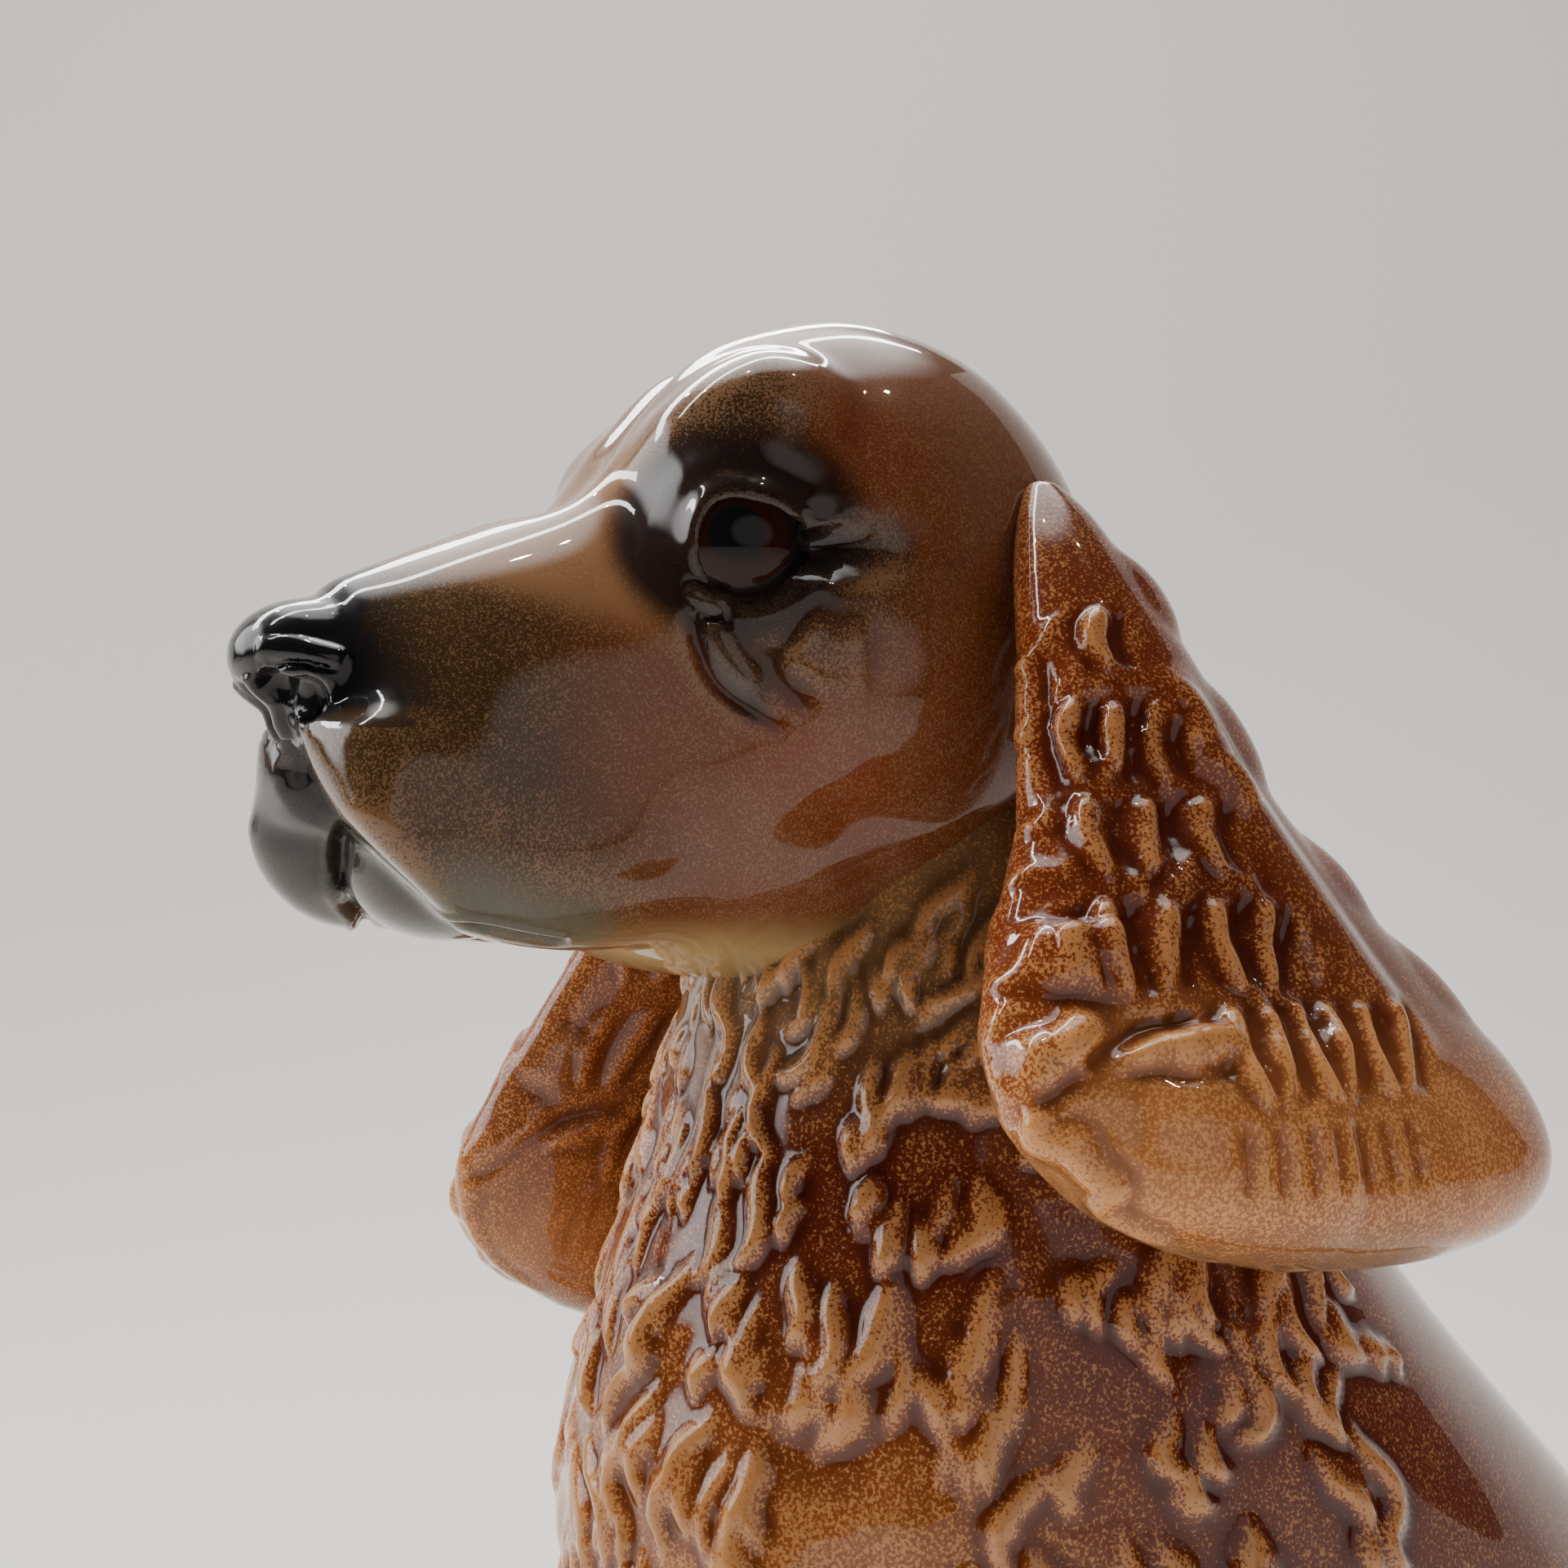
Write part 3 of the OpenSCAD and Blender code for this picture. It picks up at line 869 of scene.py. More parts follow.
    def flanks(self, clay):
        """A mask of the smooth sides of the muzzle, clear of the nose and of the lips."""
        x, y, z = abs(clay.at[:, 0]), clay.at[:, 1], clay.at[:, 2]
        edge = np.array(LIP_EDGE, float)
        lip_at_side = np.interp(y, edge[:, 1], edge[:, 2])
        over = smooth_step(0.2, 2.2, z - lip_at_side) * smooth_step(2.5, 5, x)
        nose = smooth_step(-105, -108.5, y) * smooth_step(215, 217.5, z)
        return over * (1 - nose) * smooth_step(-66, -78, y) * smooth_step(246, 238, z)

    def forms(self, clay):
        """The large forms, mirrored about the middle."""
        for p in both([(16, -78, 249), (17, -70, 251)]):
            clay.stroke(p, 10, 3.2)
        clay.settle()
        for p in both([(27, -60, 222), (26, -52, 212)]):
            clay.stroke(p, 15, 2.4)
        for p in both([(15, -84, 240), (17, -83, 233)]):
            clay.stroke(p, 6.5, -0.7)
        for p in both([(18.5, -82, 242.5), (22, -77.5, 245), (24, -71, 245)]):
            clay.stroke(p, 5.5, 1.1)
        clay.stroke([(0, -86, 243), (0, -82, 246)], 8, -1.6)
        clay.stroke(bead([(0, -82, 249), (0, -74, 257), (0, -62, 264)]), 6, -1.5, ends=0.25)
        clay.settle()

    def lids(self, clay, eyeball):
        """Wraps the face round each eyeball and leaves the almond between the lids open."""
        turns, reaches = np.array(LID_OPENING, float).T
        fine = np.arange(-180, 180, 4.0)
        smooth = np.interp(fine, turns, reaches)
        for _ in range(2):
            smooth = (np.roll(smooth, 1) + 2 * smooth + np.roll(smooth, -1)) / 4
        soft = np.zeros(len(clay.at))
        for side in (1, -1):
            away = (clay.at - EYE_CENTRE * (side, 1, 1)) * (side, 1, 1)
            far = np.linalg.norm(away, axis=1)
            near = np.flatnonzero((far < 15) & (away[:, 0] > -1))
            q, r = away[near], far[near]
            across = np.degrees(np.arctan2(q[:, 1], q[:, 0])) + 8
            up = np.degrees(np.arcsin(np.clip(q[:, 2] / r, -1, 1))) + 5
            turn = np.degrees(np.arctan2(up, across))
            s = 1 + (np.hypot(across, up) - np.interp(turn, fine, smooth, period=360)) / 40
            top = smooth_step(5, 35, turn) * smooth_step(175, 140, turn)
            low = smooth_step(-15, -45, turn) * smooth_step(-175, -150, turn)
            open_ = 1 - smooth_step(0.96, 1.05, s)
            swell = 0.15 * bump(s, 1.3, 0.13) * top - 0.5 * bump(s, 1.6, 0.16) * top
            swell = swell + 0.25 * bump(s, 1.35, 0.2) * low
            hold = 1 - smooth_step(0.6, 2.4, abs(r - eyeball - 0.8))
            radius = np.where(s < 1.3, eyeball + 0.35 + 0.25 * smooth_step(1.05, 1.25, s), r)
            radius = r + (radius - r) * hold * smooth_step(1.45, 1.2, s)
            radius += swell * hold
            radius += (eyeball - 1.1 - radius) * open_ * (r > eyeball - 3)
            clay.at[near] = EYE_CENTRE * (side, 1, 1) + q / r[:, None] * radius[:, None] * (side, 1, 1)
            soft[near] = smooth_step(1.12, 1.4, s) * smooth_step(2.8, 2.2, s)
        clay.settle()
        clay.relax(60, where=soft)

    def upper_lid(self, side):
        """The line of the fold over the eye."""
        fold = [(22, -78, 242.6), (24, -74, 242.4), (25, -70, 240.6), (25.6, -66.5, 238.8),
                (26.5, -62, 237.4)]
        return bead(fold, 16) * (side, 1, 1)

    def mouth(self, clay):
        """The edge of the flews over the lower lip, and the cleft under the nose."""
        tree = clay.surface()
        for p in both(bead(LIP_EDGE, 44)):
            edge = laid(tree, p)
            inward = edge * (0.93, 1, 1) + (0, 0.9, -0.1)
            clay.stroke(laid(tree, inward), 1.5, -1.5, SHARP, ends=0.06)
            clay.stroke(edge, 0.8, 0.3, ROUND)
        cleft = [(0, -117, 221.5), (0, -114.5, 219), (0, -113, 216.5), (0, -112, 213), (0, -110, 210),
                 (0, -108, 207.5)]
        cleft = laid(tree, bead(cleft, 30))
        clay.stroke(cleft, 1.6, -1.3, SHARP)
        clay.stroke(cleft[14:], 3.4, -1.2, SOFT, ends=0.1)
        clay.settle()

    def nostrils(self, clay):
        """Nostrils, the slits beside them and their rims."""
        tree = clay.surface()
        for side in (1, -1):
            def on(points, count=16):
                return laid(tree, bead(np.array(points, float) * (side, 1, 1), count))
            for radius, height, profile, ends, points in (
                    (1.1, 0.5, ROUND, 0.1, [(2.8, -117, 223), (2.3, -115, 219.8), (1.4, -113, 216.8)]),
                    (1.2, 0.45, ROUND, 0.15, [(4.6, -116.5, 224.9), (8, -113.5, 224.9), (10, -109.8, 223.8)]),
                    (0.7, -0.8, SHARP, 0.2, [(5.6, -115.6, 223.5), (7.8, -113, 223.3), (9.6, -110.6, 222.8)]),
                    (2.3, -2.3, ROUND, 0, [(5, -115.6, 220.9), (8, -112.6, 220.6)]),
                    (1.2, 0.3, SOFT, 0, [(4.4, -114.5, 218.2), (7, -112, 217.8)])):
                clay.stroke(on(points), radius, height, profile, ends=ends)
        clay.settle()

    def creases(self, clay):
        """Creases, folds and pouches round the eyes and on the cheeks."""
        tree = clay.surface()
        for side in (1, -1):
            def on(points, count=16):
                return laid(tree, bead(np.array(points, float) * (side, 1, 1), count))
            # The crease from the front corner of the eye with a raised edge behind it, the pouch and its
            # hollow, two short folds under the eye, and the line on from its back corner
            for radius, height, profile, ends, points in (
                    (1.7, -1.0, SHARP, 0.25, [(21.6, -80.2, 229), (22.7, -79.9, 226), (23.5, -78.9, 223),
                                              (24.2, -77, 220.8), (25.2, -72, 217.6)]),
                    (2.0, 0.6, SOFT, 0.2, [(22.6, -78.4, 228.2), (23.8, -77, 224.6), (24.8, -74.6, 221.6)]),
                    (5, 0.5, SOFT, 0.2, [(25.8, -71.5, 226.5), (25.8, -68, 224.5), (26, -64, 224)]),
                    (2.8, -0.4, SOFT, 0, [(24.8, -73.6, 223.4), (25, -71, 221)]),
                    (1.3, 0.6, ROUND, 0, [(21.2, -79.4, 230.6), (22.2, -77.6, 229.8)]),
                    (1.1, -0.6, SHARP, 0.2, [(21.9, -79.2, 228.9), (23, -76.6, 227.2)]),
                    (1.3, -0.6, SHARP, 0.3, [(23, -67.6, 235.8), (24.8, -65, 236.2), (26, -61.5, 235.6)])):
                clay.stroke(on(points), radius, height, profile, ends=ends)
        clay.settle()
        folded = np.column_stack([abs(clay.at[:, 0]), clay.at[:, 1:]])
        corner = np.linalg.norm(folded - (26, -63, 234.5), axis=1)
        clay.relax(10, where=smooth_step(8, 5, corner))

    def airbrush(self, clay, colours):
        x, y, z = clay.at.T
        wide = abs(x)
        down = -clay.out[:, 2]
        spray = Spray(clay, colours.mask, 0.5)
        red, slate = (0.2, 0.036, 0.008), (0.022, 0.022, 0.023)
        spray.cover(0.7 * smooth_step(244, 258, z), (0.27, 0.105, 0.055), 0.6)
        spray.cover(0.8 * smooth_step(-60, -44, y) * smooth_step(228, 242, z), (0.2, 0.08, 0.045), 0.55)
        spray.cover(0.75 * smooth_step(-60, -40, y) * smooth_step(240, 222, z), red)
        # The muzzle turns olive, then grey toward the lips
        spray.cover(0.85 * smooth_step(-84, -97, y), colours.olive, 0.5)
        spray.cover(0.7 * smooth_step(-74, -92, y) * smooth_step(214, 203, z), (0.06, 0.028, 0.01))
        bridge = smooth_step(230, 236, z + 0.35 * (y + 100))
        spray.cover(0.9 * smooth_step(-76, -84, y) * bridge, (0.4, 0.19, 0.08), 0.95)
        for p in both(bead(LIP_EDGE, 40)):
            spray.spot(p, 8, (0.1, 0.1, 0.066), 0.95, 0.2, core=0.3)
        spray.spot([(0, -112, 206), (0, -110, 214)], 9, slate, 0.95, 0.15)
        spray.spot([(-12, -110, 205), (-12, -113, 213)], 12, slate, 0.9, 0.15)
        right_flew = smooth_step(-95, -99, y) * smooth_step(8, 4, x) * smooth_step(-17.5, -13, x)
        spray.cover(right_flew * smooth_step(216, 212, z), slate, 0.05)
        spray.spot([(-2, -104, 203.5), (-1, -96, 198.5)], 9, (0.08, 0.078, 0.055), 0.95, 0.2)
        for p in both(bead(LIP_EDGE, 40)):
            spray.spot(p * (0.95, 1, 1) + (0, 0.8, -0.4), 1.3, (0.012, 0.012, 0.013), 0.9, 0)
        inner = smooth_step(-86, -90, y) * smooth_step(208, 205, z) * smooth_step(5, 3, x)
        spray.cover(inner * smooth_step(-17.5, -13, x), (0.05, 0.05, 0.042), 0.1)
        # Brows, lids and pouches
        for side in (1, -1):
            mirror = (side, 1, 1)
            for radius, colour, strength, freckle, path in (
                    (9.5, (0.035, 0.022, 0.011), 0.95, 0.6, [(18, -79, 246), (19, -74, 249)]),
                    (6, red, 0.6, None, [(24, -64, 251), (25, -60, 246)]),
                    (5, (0.07, 0.012, 0.006), 0.9, 0.2, [(15, -84, 241), (20, -81, 234)]),
                    (9, (0.05, 0.028, 0.013), 0.8, 0.55, [(25, -72, 226), (25, -66, 232)]),
                    (8, red, 0.7, None, [(26, -71, 214), (26, -66, 212)]),
                    (2.6, (0.035, 0.028, 0.024), 0.9, 0.1, [(23, -78, 226), (24.5, -75, 220)])):
                spray.spot(np.array(path, float) * mirror, radius, colour, strength, freckle)
            eye = EYE_CENTRE * mirror
            socket = [eye + (0, -1, -0.5), eye + (0, 2, 0)]
            spray.spot(socket, 13.5, (0.016, 0.008, 0.006), 0.96, 0.08, core=0.72)
            spray.spot(self.upper_lid(side), 1.1, (0.16, 0.08, 0.035), 0.75, 0.9)
            back_corner = np.array([(22.5, -67.5, 235.8), (26, -61, 236)]) * mirror
            spray.spot(back_corner, 3.5, (0.02, 0.012, 0.008), 0.8, 0.2)
        # Cream under the jaw
        under = 0.9 * smooth_step(201, 196, z) * smooth_step(-92, -80, y) * smooth_step(0.1, 0.7, down)
        spray.cover(under, colours.cream, 0.3)
        # The black of the nose, soft at the back
        top = smooth_step(-101, -110, y + 0.25 * (z - 226)) * smooth_step(218, 220, z)
        pad = smooth_step(-108.5, -110.5, y - 0.25 * (z - 219)) * smooth_step(214.5, 216.5, z - 0.3 * wide)
        spray.cover(np.maximum(top, pad), colours.black, 0)
        spray.keep(clay.relief())


def ear_rings(levels, side, sides=40):
    angles = np.linspace(0, 2 * math.pi, sides, endpoint=False)
    rings = []
    for z, front, back, x, half in spline(levels, 38):
        flat = outline(half, (back - front) / 2, 2, angles)
        rings.append(np.column_stack([side * (x + flat[:, 0]), (front + back) / 2 + flat[:, 1],
                                      np.full(sides, z)]))
    return rings


class SPANIEL_OT_ears(bpy.types.Operator):
    """Models the two hanging ears with their curled locks"""
    bl_idname = "spaniel.ears"
    bl_label = "Ears"

    def execute(self, context):
        sizes = context.scene.spaniel_sizes
        for side, levels, name in ((1, LEFT_EAR, "ear_left"), (-1, RIGHT_EAR, "ear_right")):
            clay = Clay(loft(name + "_sculpt", ear_rings(levels, side)))
            clay.remesh(EAR_ROUGH)
            clay.relax(4)
            clay.remesh(sizes.ear_grain / MM)
            clay.relax(1)
            self.model(clay, side, levels)
            self.airbrush(clay, side)
            finished(clay.obj, glaze("ear_glaze_" + name, **EAR_GLAZE), [name])
        return {"FINISHED"}

    def across(self, points, side, levels):
        """Moves a path from the left ear to the same place on an ear of other levels."""
        points = np.array(points, float)
        if levels is LEFT_EAR:
            return np.column_stack([np.full(len(points), OUTSIDE_EAR), points])
        drop = (EAR_ROOT - RIGHT_EAR[0][0]) / (EAR_ROOT - LEFT_EAR[0][0])
        heights = EAR_ROOT - (EAR_ROOT - points[:, 1]) * drop
        here, there = at_levels(LEFT_EAR, points[:, 1]), at_levels(levels, heights)
        share = (points[:, 0] - here[:, 1]) / (here[:, 2] - here[:, 1])
        along = there[:, 1] + share * (there[:, 2] - there[:, 1])
        return np.column_stack([np.full(len(points), side * OUTSIDE_EAR), along, heights])

    def model(self, clay, side, levels):
        def on(points, count=18):
            return laid(tree, bead(self.across(points, side, levels), count), (-side, 0, 0))
        self.curls(clay, side, levels)
        for face in (1, -1):
            # The inside of the ear takes the same locks, softer
            facing = (side * face, 0, 0)
            for table, profile, sign in ((EAR_SWELLS, SOFT, 1), (EAR_LOCKS, LOCK, 1),
                                         (EAR_CREASES, SHARP, -1)):
                tree = clay.surface()
                for radius, height, points in table:
                    path = on(points)
                    if face == -1:
                        path = laid(tree, path - (side * 30, 0, 0), (side, 0, 0))
                    amount = sign * height * (1 if face == 1 else 0.4)
                    if table is EAR_SWELLS:
                        clay.stroke(path, radius, amount, profile, ends=0.22, facing=facing)
                    else:
                        clay.lock(path, radius * 1.12, amount, profile, facing)
                clay.settle()
        tree = clay.surface()
        front = [np.array(p, float) for p in ([(35, -52, 224), (38, -54, 216), (41, -56, 209)],
                                              [(36.5, -51.5, 227), (41, -53.4, 216), (45, -54.4, 209.5)])]
        clay.stroke(laid(tree, bead(front[0] * (side, 1, 1))), 2.4, 0.8, ROUND, ends=0.3)
        clay.stroke(laid(tree, bead(front[1] * (side, 1, 1))), 1.7, -1.0, SHARP, ends=0.3)
        # The bumpy back edge
        for z, radius, height in ((231, 5.5, 1.8), (217, 6, 1.5), (204, 5.5, 1.2), (194, 6, 1.0)):
            place = self.across([(0, z)], side, levels)[0]
            _, _, back, x, _ = at_levels(levels, [place[2]])[0]
            knob = [(side * x, back, place[2] + 2), (side * (x + 1), back - 1, place[2] - 2)]
            clay.stroke(knob, radius, height)
        clay.settle()
        clay.relax(4, 0.5)

    def curls(self, clay, side, levels):
        """Small curls all over the front of the ear, under the larger locks."""
        rng = np.random.default_rng(41)
        tree = clay.surface()
        locks = []
        for z in np.arange(192, 230, 3.4):
            front, back = (np.interp(z, [192, 205, 215, 229], edge) for edge in ([-62, -56, -52, -48],
                                                                                  [-33, -37, -39, -42]))
            for y in np.arange(front, back, 3.8):
                spot = [(y + rng.uniform(-1.4, 1.4), z + rng.uniform(-1.4, 1.4))]
                root = laid(tree, self.across(spot, side, levels), (-side, 0, 0))[0]
                lean = side * np.interp((y - front) / (back - front), [0, 0.5, 1], [-40, -15, 20])
                path = strand(tree, root, lean + rng.uniform(-18, 18), rng.uniform(6, 10),
                              rng.uniform(25, 55) * rng.choice((-1, 1)), rng.uniform(0, 1.4))
                locks.append((path, rng.uniform(1.1, 1.8), rng.uniform(0.25, 0.65)))
        comb(clay, locks)

    def airbrush(self, clay, side):
        # The ear's colours, with a painted highlight on the middle of the lobe and painted shade along its
        # bottom
        levels = LEFT_EAR if side == 1 else RIGHT_EAR
        y, z = clay.at[:, 1], clay.at[:, 2]
        base = 170 if side == 1 else 146
        spray = Spray(clay, (0.18, 0.03, 0.007), 0.4)

        def spots(table):
            for radius, colour, strength, freckle, points in table:
                path = bead(self.across(points, side, levels), 14) - (side * 6, 0, 0)
                spray.spot(path, radius, colour, strength, freckle)

        spray.cover(0.75 * smooth_step(base + 32, base + 10, z), (0.42, 0.12, 0.03), 0.8)
        spots([
            (13, (0.58, 0.235, 0.075), 0.95, 0.6, [(-54, 183), (-46, 182), (-36, 181), (-26, 182)]),
            # Painted highlight: the bright sheen of light across the middle of the lobe, laid over its golden
            # colour
            (8, (1.0, 0.52, 0.22), 0.95, 0.4, [(-52, 181), (-40, 180), (-28, 180)]),
            (7, (0.3, 0.075, 0.025), 0.6, 0.6, [(-36, 192), (-24, 184), (-14, 184)]),
            # Darker olive along the bottom of the lobe: partly the ear's own olive, partly painted shade
            # where less light reaches the lobe's underside
            (5, (0.2, 0.105, 0.03), 0.9, 0.2, [(-62, 174), (-50, 171), (-36, 170)]),
            (7, (0.28, 0.19, 0.06), 0.85, 0.25, [(-66, 176), (-58, 171), (-46, 169)]),
            (9, (0.4, 0.14, 0.06), 0.7, 0.8, [(-12, 188), (-8, 180)])])
        # Painted shade together with the ear's own olive, darkening the lower front edge of the lobe
        olive_and_painted_shade_lobe_edge = 0.85 * smooth_step(base + 8, base + 1, z) * smooth_step(-22, -34, y)
        spray.cover(olive_and_painted_shade_lobe_edge, (0.2, 0.105, 0.035), 0.25)
        # The smooth band along the back, and the duller root
        band = [(-36, 230), (-33, 218), (-29, 208), (-25, 198), (-20, 192)]
        spots([(11, (0.2, 0.055, 0.026), 0.9, 0.3, band)])
        spray.cover(0.6 * smooth_step(226, 240, z), (0.13, 0.03, 0.012), 0.4)
        spots([(7, (0.12, 0.065, 0.025), 0.7, 0.7, [(-55, 222), (-57, 210)]),
               (8, (0.13, 0.022, 0.006), 0.55, None, [(-47, 218), (-46, 204), (-40, 199), (-40, 190)])])
        spray.cover(0.7 * smooth_step(0.2, 0.7, -side * clay.out[:, 0]), (0.22, 0.08, 0.03), 0.5)
        spray.keep(clay.relief(4, 2.6))


class SPANIEL_OT_torso(bpy.types.Operator):
    """Models the body and neck with the curled ruff"""
    bl_idname = "spaniel.torso"
    bl_label = "Torso"

    def execute(self, context):
        colours = context.scene.spaniel_colours
        sizes = context.scene.spaniel_sizes
        # Most of the columns go round the front and sides, where the ruff is
        angles = np.radians(np.concatenate([np.linspace(150, 390, 41)[:-1], np.linspace(30, 150, 8)[:-1]]))
        heights = np.concatenate([[5, 20, 38, 56, 74, 88], np.linspace(99, 221, 23)])
        rings = []
        for z, inset in ((3.5, 4.6), (0, 4.6), (0, 0.8), (1.5, 0)):
            rings.append((TORSO_LEVELS[0], z, inset))
        for row in at_levels(TORSO_LEVELS, heights):
            rings.append((row, row[0], 0))
        shaped = []
        for (_, front, back, half, roundness), z, inset in rings:
            flat = outline(half - inset, (back - front) / 2 - inset, roundness, angles)
            middle = (front + back) / 2
            shaped.append(np.column_stack([flat[:, 0], middle + flat[:, 1], np.full(len(flat), z)]))
        obj = loft("torso_sculpt", shaped)
        subdivide(obj, 3)
        clay = Clay(obj)
        self.swells(clay)
        locks = self.ruff(clay, sizes)
        raised = comb(clay, locks)
        clay.relax(1, 0.5)
        self.airbrush(clay, raised, colours)
        finished(clay.obj, body_glaze(colours), ["torso"])
        return {"FINISHED"}

    def ruff(self, clay, sizes):
        """Tufts in staggered rows round the neck and chest: a few locks each, hooked at the tips."""
        tree = clay.surface()
        rng = np.random.default_rng(11)
        width, height = sizes.lock_width / MM, sizes.lock_height / MM
        locks = []
        for row, z in enumerate(np.arange(106, 204, 7.5)):
            _, front, back, half, _ = at_levels(TORSO_LEVELS, [z])[0]
            reach = np.interp(z, [106, 125, 150, 175, 200], [60, 80, 104, 114, 118])
            pitch = np.degrees(8.5 / max(half, 30))
            for turn in np.arange(-reach, reach + 0.1, pitch):
                around = math.radians(turn + (row % 2) * pitch / 2 + rng.uniform(-3, 3))
                ahead = (front + back) / 2 - (back - front) / 2 * math.cos(around)
                root = np.array((half * math.sin(around), ahead, z + rng.uniform(-2.5, 2.5)))
                side = 1 if turn >= 0 else -1
                # Turn from straight down, high on the neck and low on the chest, by how far round it is
                turns = [0, 25, 60, 85, 115]
                high = np.interp(abs(turn), turns, [0, -16, -30, -4, 34])
                low = np.interp(abs(turn), turns, [0, -8, 2, 28, 50])
                lean = low + (high - low) * smooth_step(142, 172, z)
                heading = side * lean + rng.uniform(-12, 12)
                curl, phase = rng.uniform(18, 46) * rng.choice((-1, 1)), rng.uniform(0, 1.4)
                length = rng.uniform(7, 16)
                if rng.uniform() < 0.16:
                    continue
                for k in range(rng.integers(2, 6)):
                    start = root + rng.uniform(-2.8, 2.8, 3)
                    path = strand(tree, start, heading + 9 * (k - 1.5), length * rng.uniform(0.6, 1), curl,
                                  phase)
                    locks.append((path, width * rng.uniform(0.55, 1.3), height * rng.uniform(0.45, 1.2)))
        return locks

    def swells(self, clay):
        """Broad unevenness under the hair."""
        tree = clay.surface()
        rng = np.random.default_rng(5)
        for _ in range(90):
            z = rng.uniform(112, 196)
            turn = math.radians(rng.uniform(-1, 1) * np.interp(z, [112, 175], [45, 105]))
            _, front, back, half, _ = at_levels(TORSO_LEVELS, [z])[0]
            root = (half * math.sin(turn), (front + back) / 2 - (back - front) / 2 * math.cos(turn), z)
            path = strand(tree, root, rng.uniform(-20, 20), rng.uniform(8, 16), 0, 0, 5)
            clay.stroke(path, rng.uniform(5, 8), rng.uniform(-0.8, 0.8), SOFT, ends=0.4)
        clay.settle()

    def airbrush(self, clay, raised, colours):
        x, y, z = clay.at.T
        _, fronts, backs, _, _ = at_levels(TORSO_LEVELS, np.clip(z, 1, 220)).T
        rear = (y - fronts) / (backs - fronts)
        spray = Spray(clay, (0.13, 0.018, 0.004), 0.45)
        hair = smooth_step(0.0, 0.5, raised)
        spray.cover(0.5 * hair, (0.23, 0.048, 0.01), 0.8)
        smooth_back = smooth_step(0.5, 0.8, rear)
        spray.cover(0.85 * smooth_back, (0.14, 0.027, 0.012), 0.4)
        spray.cover(0.6 * smooth_step(0.4, 0.12, rear) * smooth_step(172, 140, z), (0.42, 0.13, 0.03), 0.95)
        spray.cover(0.65 * smooth_step(176, 196, z) * smooth_step(0.75, 0.3, rear), (0.3, 0.19, 0.08), 0.55)
        spray.cover(0.6 * smooth_step(176, 190, z) * bump(rear, 0.55, 0.2), (0.1, 0.02, 0.008), 0.2)
        spray.cover(0.5 * smooth_step(60, 10, z), (0.12, 0.03, 0.012), 0.5)
        spray.keep(clay.relief(3, 3.0))


def toe_paths(foot, side):
    """The middle of each toe, from its root over the knuckle to its tip, with its thickness."""
    x, y, reach, splay = foot
    paths = []
    for k in TOE_PLACES:
        ahead = reach - 1.6 * abs(k)
        paths.append(np.array([
            (x + 3.8 * k, y + 6, 12, 6.4), (x + 5 * k, y - 0.3 * ahead, 11.6, 6.2),
            (x + 0.96 * splay * k, y - 0.75 * ahead, 8.6, 5.9),
            (x + splay * k, y - ahead, 5.8, 5.3)]) * (side, 1, 1, 1))
    return paths


def paw(clay, foot, side):
    """Presses the grooves between the toes, the knuckles and the claws into a foot."""
    tree = clay.surface()
    toes = [bead(path[:, :3], 16) for path in toe_paths(foot, side)]
    for one, two in zip(toes, toes[1:]):
        groove = laid(tree, (one + two)[3:] / 2 + (0, -2, 4))
        clay.stroke(groove, 1.9, -1.9, SHARP, ends=0.2)
    clay.settle()
    tree = clay.surface()
    for toe in toes:
        tip = laid(tree, [toe[-1] + (0, -6, 0.2), toe[-1] + (0, -6.5, -2.4)])
        clay.stroke(tip, 1.5, 0.9, ROUND)
    clay.settle()


def tuft(clay, rng, places, heading, length, width, height, count=(2, 5)):
    """Small bunches of locks at places on a surface."""
    tree = clay.surface()
    locks = []
    for place in places:
        turn = heading(place) + rng.uniform(-12, 12)
        curl, phase = rng.uniform(14, 38) * rng.choice((-1, 1)), rng.uniform(0, 1.4)
        for k in range(rng.integers(*count)):
            start = np.asarray(place) + rng.uniform(-2.4, 2.4, 3)
            path = strand(tree, start, turn + 8 * (k - 1), length * rng.uniform(0.6, 1), curl, phase)
            locks.append((path, width * rng.uniform(0.7, 1.15), height * rng.uniform(0.5, 1.2)))
    return comb(clay, locks)


def leg_colours(clay, raised, foot, side):
    """The coat on a leg: rust, lighter on the locks, with golden toes and dark claws."""
    spray = Spray(clay, (0.17, 0.036, 0.009), 0.5)
    spray.cover(0.5 * smooth_step(0.0, 0.5, raised), (0.25, 0.07, 0.02), 0.85)
    spray.cover(0.6 * smooth_step(SOLE + 26, SOLE, clay.at[:, 2]), (0.3, 0.1, 0.028), 0.85)
    for path in toe_paths(foot, side):
        spray.spot(path[1:, :3] + (0, 0, 3), 6, (0.42, 0.16, 0.05), 0.6, 0.95)
        spray.spot([path[-1, :3] + (0, -6, -1.4)], 2.3, (0.02, 0.012, 0.01), 0.95, 0)
    spray.keep(clay.relief(3, 3.0))


